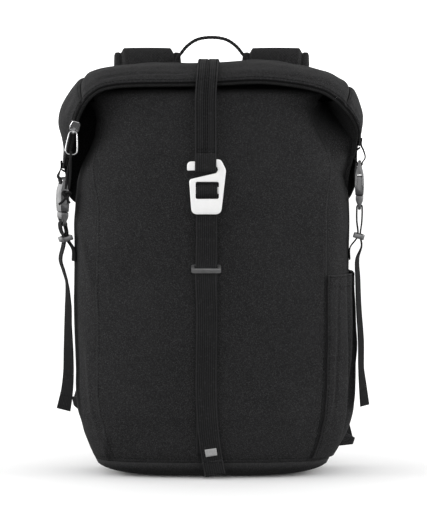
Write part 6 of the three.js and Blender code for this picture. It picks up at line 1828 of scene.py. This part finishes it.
@dataclass
class SideStrap(Assembly):
    """A side strap: a loop at the ear, a fastened buckle, a keeper and the loose end of the webbing."""

    name: str = "left"
    side: int = -1
    tip: float = 0.781
    top: float = 0.7555
    out: float = 12.5
    front: float = 36
    turn: float = 14
    keeper_up: float = 0.603
    keeper_out: float = 9
    anchor_up: float = 0.545
    anchor_out: float = -0.9
    loop_out: float = 13.9
    tail: tuple[tuple[float, float, float, float], ...] = (
        (11.8, 0.585, 36, 14), (15.3, 0.55, 36, 13), (11.4, 0.52, 36, 12), (7.6, 0.49, 36, 10),
        (6.2, 0.43, 37, 25),
        (6.6, 0.385, 38, 28), (6.4, 0.317, 39, 38), (6.6, 0.259, 39, 42), (8.4, 0.2155, 39, 48),
        (12.5, 0.167, 38, 60),
    )
    web: float = 20
    socket: float = 42
    plug: float = 17
    bar: float = 3.4
    tab_seams: tuple[int, ...] = (10, 24)

    def group(self) -> Group:
        """Place of the strap's upright run beside the bag."""
        place = (self.side * (self.bag.sizes.half_width + self.out), -self.front, 0.0)
        return about_z(place, -self.side * self.turn)

    @staticmethod
    def width_at(angle: Array) -> Array:
        """Width direction of the upright webbing, turned away from front-to-back by an angle."""
        return np.stack([np.sin(angle), np.cos(angle), 0 * angle], axis=-1)

    def webbing_run(self) -> tuple[Array, Array]:
        """Middle line and width direction of the lower webbing, round the plug's bar to its end."""
        lip, out, side = self.hood.lip_height, self.out, self.side
        mouth = self.top * lip - self.socket + self.bar / 2
        bar = mouth - TOUCH_GAP - self.plug + self.bar / 2
        wrap = self.bar * 0.62 + TOUCH_GAP + WEBBING / 2
        keep, foot, mid = self.keeper_up * lip, self.anchor_up * lip, lerp(self.keeper_out, out, 0.6)
        upright = [
            (self.anchor_out, foot), (self.anchor_out + 0.3, lerp(foot, keep, 0.5)),
            (self.keeper_out - 1.6, keep),
            (mid - 3, lerp(keep, bar, 0.55)), (out - wrap, bar - 1.5), (out - wrap * 0.85, bar + wrap * 0.8),
            (out, bar + wrap), (out + wrap * 0.85, bar + wrap * 0.8), (out + wrap, bar - 1.5),
            (mid + 3, lerp(keep, bar, 0.5)), (self.keeper_out + 1.6, keep + 1),
        ]
        points = [(side * (o - out), 0.0, float(z)) for o, z in upright]
        points += [(side * (o - out), self.front - f, up * lip) for o, up, f, _ in self.tail]
        turns = np.array([0.0] * len(upright) + [row[3] - self.turn for row in self.tail])
        steps = 12 * (len(points) - 1)
        angle = np.radians(stretch(turns, steps)) * side
        return smooth_curve(np.array(points, float), steps), self.width_at(angle)

    def ear_loop(self) -> tuple[Array, Array]:
        """Middle line and width direction of the loop from the ear's tip round the socket's bar."""
        lip, out, side = self.hood.lip_height, self.out, self.side
        tip, bar = self.tip * lip, self.top * lip - self.bar / 2
        wide, wrap = (tip - bar) * 0.16, self.bar * 0.62 + TOUCH_GAP + WEBBING / 2
        route = [
            (self.loop_out, tip + 9), (lerp(self.loop_out, out + 1.5, 0.8), tip + 0.8),
            (out + wide + 1.4, lerp(bar, tip, 0.7)), (out + wide + wrap, lerp(bar, tip, 0.3)),
            (out + wrap, bar + 0.6),
            (out + wrap * 0.8, bar - wrap * 0.8), (out, bar - wrap), (out - wrap * 0.8, bar - wrap * 0.8),
            (out - wrap, bar + 0.6), (out - wrap - wide, lerp(bar, tip, 0.3)),
            (out - wide - 0.6, lerp(bar, tip, 0.7)),
            (out + 0.6, tip - 2.4),
        ]
        points = np.array([(side * (float(o) - out), 0.0, float(z)) for o, z in route])
        place = np.linspace(0, 24, 133)
        sewn = 1 - smoothstep(place, 2, 9) * (1 - smoothstep(place, 17, 24))
        angle = np.radians(-self.turn * sewn) * side
        return smooth_curve(points, 132), self.width_at(angle)

    def build(self) -> None:
        """Makes the two runs of webbing, the buckle's halves, the keeper and the folded end."""
        group, fit, name = self.group(), self.shop.fit, self.name
        route, across = self.webbing_run()
        band = webbing_band(f"{name}_side_band", group.world(route), group.turned(across), self.web)
        fit(band, Look.HERRINGBONE, [f"side_webbing_{name}"])
        loop, turned = self.ear_loop()
        upper = webbing_band(f"{name}_ear_band", group.world(loop), group.turned(turned), self.web)
        fit(upper, Look.HERRINGBONE, [f"ear_loop_{name}"])
        self.copy_hard(f"buckle_socket_{name}", f"{name}_socket_shell", 0.7, Look.GREY_METAL)
        self.copy_hard(f"buckle_plug_{name}", f"{name}_plug_frame", 0.6, Look.GREY_METAL)
        self.copy_hard(f"side_keeper_{name}", f"{name}_keeper_frame", 0.8, Look.GREY_METAL)
        points, width = group.world(route), group.turned(across)
        out = unit(np.cross(travel(points), width))
        steps, lift, rows = np.linspace(-8.6, 8.6, 24)[:, None], WEBBING / 2 + STITCH_LIFT, []
        for back in self.tab_seams:
            for face in (-1, 1):
                start = points[-back] + out[-back] * face * lift
                rows.append((start + steps * width[-back], out[-back] * face))
        fit(self.thread.sew(f"{name}_tab_stitches", rows), Look.THREAD)


RIGHT_STRAP = {
    "name": "right", "side": 1, "tip": 0.838, "top": 0.797, "out": 12, "front": 26, "turn": 4,
    "keeper_up": 0.608, "keeper_out": 11.4, "anchor_up": 0.548, "anchor_out": 0.4, "loop_out": 14.2,
    "tail": (
        (14.6, 0.583, 26, 5), (9.6, 0.55, 27, 14), (10.2, 0.5, 28, 18), (11.4, 0.43, 29, 19),
        (14.2, 0.34, 30, 22),
        (14.6, 0.27, 30, 21), (16.4, 0.23, 30, 28), (19, 0.176, 30, 36),
    ),
}


@dataclass
class SidePocket(Assembly):
    """The pleated pocket on the right side, open at its top, with a hem."""

    size: tuple[int, int] = (180, 130)
    floor: float = 24
    height: float = 243
    bulge: float = 7.4
    top: float = 0.45
    hem: float = 14
    pleat_depth: float = 1.5
    pleats: tuple[tuple[float, float, float, float], ...] = (
        (0.09, 0.3, 0.02, 0.03), (0.2, 0.7, 0.035, -0.05), (0.33, 0.6, 0.045, 0.08), (0.52, 0.8, 0.05, 0.12),
        (0.76, 0.5, 0.06, -0.06),
    )
    ripple: Ripple = Ripple(seed=61, longest=90, shortest=18, height=0.9)

    def build(self) -> None:
        """Makes the pocket and the stitching of its hem and edges."""
        columns, levels = self.size
        z = np.linspace(self.floor, self.height, levels + 1)
        back = np.full_like(z, -self.bag.back_seam_angle)
        grid = self.bag.panel(z, self.bag.front_seam_angle(z), back, columns)
        up, around = np.linspace(0, 1, levels + 1)[:, None], np.linspace(0, 1, columns + 1)[None]
        belly = np.sin(math.pi * around) ** 0.6 * smoothstep(up, -0.02, 0.2)
        belly = belly * lerp(1, self.top, smoothstep(up, 0.6, 1))
        pleats = self.pleat_depth * smoothstep(up, 0.02, 0.35) * sum(
            depth * bump(around + lean * (1 - up), at, spread * 0.7)
            for at, depth, spread, lean in self.pleats
        )
        standoff = CLOTH + 1.1 + self.bulge * np.maximum(belly - pleats * belly, 0)
        rise = z[:, None] - self.height
        standoff = standoff + 0.35 * smoothstep(rise, -self.hem - 1, -self.hem + 1)
        uneven = self.ripple.at(around * 165, up * (self.height - self.floor))
        standoff = standoff + uneven * belly * (1 - smoothstep(up, 0.85, 0.95))
        outer = grid + grid_normals(grid) * standoff[..., None]
        self.shop.fit(cloth_sheet("pocket_cloth", outer), Look.CANVAS, ["side_pocket"])
        across = np.linspace(2, columns - 2, 220)
        hem_row = levels * (1 - self.hem / (self.height - self.floor))
        level = np.linspace(2, levels - 1, 160)
        rows = [over_grid(outer, row, across) for row in (hem_row, levels - 1.2)]
        rows.append(over_grid(outer, level, 2.4))
        self.shop.fit(self.thread.sew("pocket_stitches", rows), Look.THREAD)


# The back and its harness


@dataclass
class Harness(Assembly):
    """The back pads, the shoulder straps with their adjusters and webbing, the yoke and the haul handle."""

    pad_width: float = 92
    pad_height: float = 325
    pad_thickness: float = 9
    pad_floor: float = 60
    pad_spacing: float = 104
    pad_steps: tuple[int, int] = (96, 200)
    pad_roundness: float = 7
    pad_edge: float = 6
    quilt_depth: float = 3.2
    quilt_places: tuple[float, ...] = (0.2, 0.4, 0.6, 0.8)
    yoke_height: float = 26
    yoke_top: float = 424
    yoke_thickness: float = 4
    yoke_corner: float = 4
    yoke_bevel: float = 0.9
    strap_width: float = 82
    strap_thickness: float = 11
    strap_top: float = 505
    strap_back: float = 142
    swell: float = 6
    edge_seams: tuple[float, ...] = (-0.78, 0.78, -0.93, 0.93)
    handle_web: float = 16
    handle_thickness: float = 3.4
    handle_top: float = 528.5
    handle_half: float = 44
    handle_back: float = 80
    handle_seams: tuple[float, ...] = (-5.8, 5.8)
    wing_thickness: float = 3
    wing_back: float = 1.16
    adjuster_length: float = 30
    adjuster_thickness: float = 5
    shoulder: tuple[tuple[float, float, float, float, float], ...] = (
        (0.44, 0.56, 0.79, 0.96, 0.5), (0.445, 0.561, 0.83, 0.98, 0.5), (0.45, 0.59, 0.875, 1, 0.75),
        (0.465, 0.63, 0.935, 1, 0.95), (0.475, 0.71, 0.985, 1, 1), (0.485, 0.82, 1, 1, 1),
        (0.495, 0.92, 0.97, 0.98, 1),
        (0.51, 0.97, 0.89, 0.95, 1), (0.535, 0.99, 0.78, 0.9, 1), (0.57, 1, 0.66, 0.84, 1),
        (0.61, 0.98, 0.54, 0.78, 1),
        (0.65, 0.94, 0.43, 0.72, 0.95), (0.69, 0.88, 0.335, 0.62, 0.8),
    )
    handle_route: tuple[tuple[float, float, float, float], ...] = (
        (0.55, 0.97, 0.04, 0.01), (0.62, 0.97, 0.32, 0.02), (0.82, 0.985, 0.53, 0.5), (0.99, 1, 0.69, 1),
        (0.98, 1, 0.74, 1), (0.86, 1, 0.81, 1), (0.68, 1, 0.9, 1), (0.4, 1, 0.975, 1), (0, 1, 1, 1),
    )
    wings: tuple[tuple[str, int, float, float, float, float], ...] = (
        ("left", -1, 0.085, 0.19, 0.175, 15), ("right", 1, 0.045, 0.12, 0.055, 22),
    )

    def pad(self, name: str, side: int) -> None:
        """A back pad: a rounded cushion with quilted grooves across it and a groove inside its edge."""
        columns, levels = self.pad_steps
        u, v = np.meshgrid(np.linspace(1, -1, columns), np.linspace(-1, 1, levels))
        share, a, b = rim_rays(u, v)
        reach = share * rim_reach(a, b, self.pad_roundness)
        x = side * self.pad_spacing / 2 + a * reach * self.pad_width / 2
        z = self.pad_floor + self.pad_height / 2 + b * reach * self.pad_height / 2
        inset = (1 - share) * self.pad_width / 2
        round_edge = np.sqrt(np.maximum(1 - np.clip(1 - inset / self.pad_edge, 0, 1) ** 2, 0))
        quilt = sum(bump(z, self.pad_floor + self.pad_height * f, 2.6) for f in self.quilt_places)
        grooves = self.quilt_depth * quilt + 1.2 * bump(inset, 9, 2.2)
        thick = (self.pad_thickness * (1 - 0.05 * bump(a * reach, 0, 0.8)) - grooves) * round_edge
        back = self.bag.sizes.back_depth + TOUCH_GAP
        top = np.stack([x, back + np.maximum(thick, 0), z], axis=-1)
        bottom = np.stack([x, np.full_like(x, back), z], axis=-1)
        cushion = cushion_mesh(f"{name}_back_cushion", top, bottom)
        self.shop.fit(cushion, Look.PADDING, [f"back_pad_{name}"])

    def shoulder_points(self, side: int) -> Array:
        """Named points of a shoulder strap's middle line."""
        rows = np.array(self.shoulder)
        scale = np.array([side * self.bag.sizes.half_width, self.strap_back, self.strap_top])
        return rows[:, :3] * scale

    def shoulder_strap(self, name: str, side: int) -> None:
        """A shoulder strap: a padded middle that swells at the crest, between grooves and thinner edges."""
        points, rows = self.shoulder_points(side), np.array(self.shoulder)
        steps = 20 * (len(rows) - 1)
        route = smooth_curve(points, steps)
        keys = tuple(np.linspace(0, 1, len(rows)))
        table = SmoothTable(keys, {"wide": tuple(rows[:, 3]), "thick": tuple(rows[:, 4])})
        share = np.linspace(0, 1, steps + 1)
        wide = self.strap_width / 2 * table.at("wide", share)
        thick = self.strap_thickness / 2 * table.at("thick", share)
        along = travel(route)
        across = unit(RIGHTWARD - along * along[:, :1])
        out = unit(np.cross(along, across))
        w = np.linspace(-1, 1, 61)
        panel = 1 - 0.06 * np.abs(w) ** 2
        flange = 0.85 - 0.4 * smoothstep(np.abs(w), 0.94, 1.0)
        middle = 1 - smoothstep(np.abs(w), 0.7, 0.8)
        groove = 0.3 * bump(np.abs(w), 0.81, 0.025)
        face = lerp(flange, panel, middle) - groove
        lower = np.where(np.abs(w) > 0.98, 0.3, 1.0) * (1 - 0.15 * smoothstep(np.abs(w), 0.8, 1.0)) - groove
        section = np.concatenate([np.stack([w, face], -1), np.stack([w[::-1], -lower[::-1]], -1)])
        taper = 1 - 0.35 * (bump(share, 0, 0.012) + bump(share, 1, 0.012))
        swell = self.swell * smoothstep(share, 0.1, 0.35) * (1 - smoothstep(share, 0.5, 0.8))
        raised = np.concatenate([0 * w, -middle * (1 - 0.25 * w * w)])
        rings = (
            route[:, None]
            + across[:, None] * section[None, :, :1] * wide[:, None, None]
            + out[:, None] * section[None, :, 1:] * (thick * taper)[:, None, None]
            + out[:, None] * (raised[None] * swell[:, None])[..., None]
        )
        places = np.broadcast_arrays(section[None, :, 0] * wide[:, None], run_length(route)[:, None])
        band = tube_mesh(f"{name}_shoulder_pad", rings, uv=np.stack(places, axis=-1) * METRES)
        self.shop.fit(band, Look.PADDING, [f"shoulder_strap_{name}"])
        edge_rows = []
        for place in self.edge_seams:
            offset = across * (place * wide)[:, None] + out * (0.87 * thick * taper)[:, None]
            edge_rows.append((route[6:-6] + offset[6:-6], out[6:-6]))
        self.shop.fit(self.thread.sew(f"{name}_shoulder_stitches", edge_rows), Look.THREAD)

    def foot(self, side: int) -> tuple[Array, Array]:
        """End of a shoulder strap and the direction in which it points."""
        points = self.shoulder_points(side)
        return points[-1], unit(points[-1] - points[-2])

    def wing_frame(
        self, side: int, low: float, high: float, tip_up: float, tip_out: float
    ) -> tuple[Array, Array, Array, Array]:
        """Corners of a wing of doubled canvas and the direction its outer face looks."""
        size = self.bag.sizes
        across, clear = 0.86, self.wing_thickness / 2 + TOUCH_GAP + 0.3
        back = (1 - across**size.back_roundness) ** (1 / size.back_roundness)
        roots = []
        for share in (low, high):
            z = share * size.height
            x = side * (float(self.bag.half_width(side, z)) * across + clear * 0.3)
            roots.append(np.array([x, float(self.bag.back_depth(z)) * back + clear, z]))
        tip_side, tip_depth = side * (size.half_width + tip_out), size.back_depth * self.wing_back
        tip = np.array([tip_side, tip_depth, tip_up * size.height])
        normal = unit(np.cross(roots[1] - roots[0], tip - roots[0]))
        return roots[0], roots[1], tip, normal if normal[1] > 0 else -normal

    def wing(self, name: str, side: int, low: float, high: float, tip_up: float, tip_out: float) -> None:
        """A wing at a bottom corner of the back, and the webbing from it up to the adjuster."""
        a, b, c, normal = self.wing_frame(side, low, high, tip_up, tip_out)
        s, t = np.linspace(0, 1, 30)[:, None, None], np.linspace(0, 1, 34)[None, :, None]
        grid = lerp(lerp(a, c, t * 0.8), lerp(b, c, t * 0.8), s)
        if np.dot(np.cross(grid[0, 1] - grid[0, 0], grid[1, 0] - grid[0, 0]), normal) < 0:
            grid = grid[::-1]
        outer = grid + normal * self.wing_thickness / 2
        sheet = cloth_sheet(f"{name}_wing_cloth", outer, self.wing_thickness)
        self.shop.fit(sheet, Look.CANVAS, [f"anchor_wing_{name}"])
        foot, down = self.foot(side)
        start = lerp(c, lerp(a, b, 0.5), 0.36) + normal * ((self.wing_thickness + WEBBING) / 2 + TOUCH_GAP)
        flat = foot - start
        flat = unit(flat - normal * np.dot(flat, normal))
        behind, long = unit(BACKWARD - down * down[1]), self.adjuster_length
        lift = behind * ((self.adjuster_thickness + WEBBING) / 2 + TOUCH_GAP)
        clear, *through = (foot + down * d + lift for d in (long + 12, long + 8, long - 4, long * 0.4))
        route = np.array([
            start, start + flat * 8, start + flat * 16 + normal * 0.4, start + flat * 26 + normal * 2.4,
            lerp(start, clear, 0.6) + [side * 2, 1.5, 0.0], *through,
        ])
        ends = unit(np.cross(normal, flat)), unit(np.cross(down, behind))
        turned = [v if v[0] > 0 else -v for v in ends]
        place = np.linspace(0, 16, 113)
        across = lerp(turned[0], turned[1], smoothstep(place, 3, 10.4)[:, None])
        band = webbing_band(f"{name}_shoulder_band", smooth_curve(route, 112), across, 20)
        self.shop.fit(band, Look.STRAP, [f"shoulder_webbing_{name}"])

    def handle(self) -> None:
        """The haul handle: doubled webbing that turns on edge as it rises."""
        rows = np.array(self.handle_route)
        height = lerp(self.yoke_top, self.handle_top, rows[:, 2])
        half = np.stack([rows[:, 0] * self.handle_half, rows[:, 1] * self.handle_back, height], axis=-1)
        mirror = np.array([-1.0, 1.0, 1.0])
        points = np.concatenate([half * mirror, half[:-1][::-1]])
        edge = np.concatenate([rows[:, 3], 2 - rows[:-1, 3][::-1]])
        steps = 14 * (len(points) - 1)
        turn = np.radians(90 * stretch(edge, steps))
        across = np.stack([np.cos(turn), np.sin(turn), 0 * turn], axis=-1)
        route = smooth_curve(points, steps)
        size = (self.handle_web, self.handle_thickness)
        band = webbing_band("haul_handle_band", route, across, *size, Band.DOUBLE)
        self.shop.fit(band, Look.STRAP, ["haul_handle"])
        wide, thick = ring_frames(route, across)
        inner, lift = slice(10, -10), self.handle_thickness / 2 + STITCH_LIFT
        rows_sewn = [
            ((route + wide * w + thick * face * lift)[inner], (thick * face)[inner])
            for w in self.handle_seams
            for face in (-1, 1)
        ]
        self.shop.fit(self.thread.sew("handle_stitches", rows_sewn), Look.THREAD)

    def yoke(self) -> None:
        """The strip over the sewn ends of the straps, with stitching round it."""
        back = self.bag.sizes.back_depth + TOUCH_GAP + self.yoke_thickness / 2
        wide, tall = 2 * self.bag.sizes.half_width * 0.7, self.yoke_height
        middle = np.array([0.0, back, self.yoke_top - tall / 2])
        place = Group(middle, UPRIGHT).matrix()
        outline = rounded_rectangle(wide, tall, self.yoke_corner)
        strip = plate_mesh("yoke_strip", [outline], self.yoke_thickness, self.yoke_bevel, place)
        self.shop.fit(strip, Look.CANVAS, ["yoke"])
        x = np.linspace(-wide / 2 + 5, wide / 2 - 5, 120)
        rows = []
        for up in (tall / 2 - 3, -tall / 2 + 3):
            line = np.stack([x, np.full_like(x, self.yoke_thickness / 2 + 0.1), np.full_like(x, up)], axis=-1)
            rows.append((middle + line, BACKWARD))
        self.shop.fit(self.thread.sew("yoke_stitches", rows), Look.THREAD)

    def build(self) -> None:
        """Makes the whole back."""
        for name, side, low, high, tip_up, tip_out in self.wings:
            self.pad(name, side)
            self.shoulder_strap(name, side)
            self.copy_hard(f"strap_adjuster_{name}", f"{name}_adjuster_frame", 0.8, Look.PLASTIC)
            self.wing(name, side, low, high, tip_up, tip_out)
        self.yoke()
        self.handle()


# Light, floor and camera


@dataclass(frozen=True)
class Studio:
    """A bright white room: a surround, a pale floor, two soft side lights and the camera."""

    surround: float = 1.62
    overhead: float = 0.64
    below: float = 0.12
    floor_half: float = 12.0
    # Strength of the floor's painted glow far from the bag.
    far_floor_glow: float = 0.28
    aim: tuple[float, float, float] = (0.0024, -0.07, 0.266)
    distance: float = 3.5
    elevation: float = 3.0
    lens: float = 207
    floor_tone: float = 0.98
    lamp_place: tuple[float, float, float] = (1.6, -0.16, 0.5)
    lamp_size: float = 0.9
    lamp_power: float = 13.0
    left_share: float = 1.25

    def world(self) -> None:
        """A white surround, weaker overhead and below the horizon, as in a room lit from its walls."""
        world = bpy.data.worlds.new("white_room")
        world.use_nodes = True
        sky = world.node_tree.nodes["Background"]
        sky.inputs["Color"].default_value = (1.0, 1.0, 1.0, 1.0)
        board = Board(world.node_tree)
        direction = board.node("ShaderNodeTexCoord").outputs["Generated"]
        height = board.node("ShaderNodeSeparateXYZ", Vector=direction).outputs["Z"]
        upper = board.between(height, 0.15, 0.8, 1.0, self.overhead / self.surround)
        lower = board.between(height, -0.25, -0.05, self.below, self.surround)
        board.put(sky.inputs["Strength"], board.math("MULTIPLY", upper, lower))
        bpy.context.scene.world = world

    def floor(self) -> Piece:
        """A pale matt floor that takes the bag's contact shadow. It glows farther off as painted light, to
        meet the white, but not near the bag, so the darker patch round the bag is partly painted shade.
        """
        half = self.floor_half * 1000
        corners = np.array([(-half, -half, 0), (half, -half, 0), (half, half, 0), (-half, half, 0)], float)
        mesh = bpy.data.meshes.new("studio_floor")
        mesh.from_pydata((corners * METRES).tolist(), [], [(0, 1, 2, 3)])
        ground = bpy.data.objects.new("studio_floor", mesh)
        bpy.context.scene.collection.objects.link(ground)
        paper = bpy.data.materials.new("floor_paper")
        paper.use_nodes = True
        shader = paper.node_tree.nodes["Principled BSDF"]
        shader.inputs["Base Color"].default_value = (*grey(self.floor_tone), 1.0)
        shader.inputs["Roughness"].default_value = 1.0
        shader.inputs["Specular IOR Level"].default_value = 0.0
        shader.inputs["Emission Color"].default_value = (1.0, 1.0, 1.0, 1.0)
        board = Board(paper.node_tree)
        # Painted light: the floor's glow rises with distance from the bag, so the patch round the bag is left
        # darker as painted shade.
        away = board.vector("LENGTH", board.node("ShaderNodeTexCoord").outputs["Object"]).outputs["Value"]
        board.put(shader.inputs["Emission Strength"], board.between(away, 0.12, 0.8, 0.0, self.far_floor_glow))
        mesh.materials.append(paper)
        ground.visible_diffuse = ground.visible_glossy = False
        return ground

    def lamp(self, name: str, side: int, power: float) -> Piece:
        """A square soft light on one side that looks at the bag."""
        across, away, up = self.lamp_place
        place = Vector((side * across, away, up))
        light = bpy.data.lights.new(name, "AREA")
        light.shape, light.size, light.energy = "SQUARE", self.lamp_size, power
        made = bpy.data.objects.new(name, light)
        bpy.context.scene.collection.objects.link(made)
        made.location = place
        made.rotation_euler = (Vector(self.aim) - place).to_track_quat("-Z", "Y").to_euler()
        return made

    def camera(self) -> None:
        """The camera, level with the bag's middle and a little above it."""
        lens = bpy.data.cameras.new("photo_camera")
        lens.sensor_fit, lens.sensor_height, lens.lens = "VERTICAL", 36, self.lens
        lens.clip_end = 60
        made = bpy.data.objects.new("photo_camera", lens)
        bpy.context.scene.collection.objects.link(made)
        lift = math.radians(self.elevation)
        place = Vector(self.aim) + self.distance * Vector((0, -math.cos(lift), math.sin(lift)))
        made.location = place
        made.rotation_euler = (Vector(self.aim) - place).to_track_quat("-Z", "Y").to_euler()
        bpy.context.scene.camera = made

    def build(self) -> None:
        """Sets up the room."""
        scene = bpy.context.scene
        scene.view_settings.view_transform = "Standard"
        self.world()
        ground = self.floor()
        self.camera()
        left = self.lamp("left_light", -1, self.lamp_power * self.left_share)
        right = self.lamp("right_light", 1, self.lamp_power)


def main() -> None:
    """Builds the backpack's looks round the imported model, and the room it is seen in."""
    logging.basicConfig(level=logging.INFO, format="%(name)s: %(message)s")
    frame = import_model()
    shop = Workshop(frame)
    Studio().build()
    ZipRun(shop).build()
    BodyShell(shop).build()
    HoodShell(shop).build()
    PitWeb(shop).build()
    CentreStrap(shop).build()
    SideStrap(shop).build()
    SideStrap(shop, **RIGHT_STRAP).build()
    SidePocket(shop).build()
    Harness(shop).build()


if __name__ == "__main__":
    main()
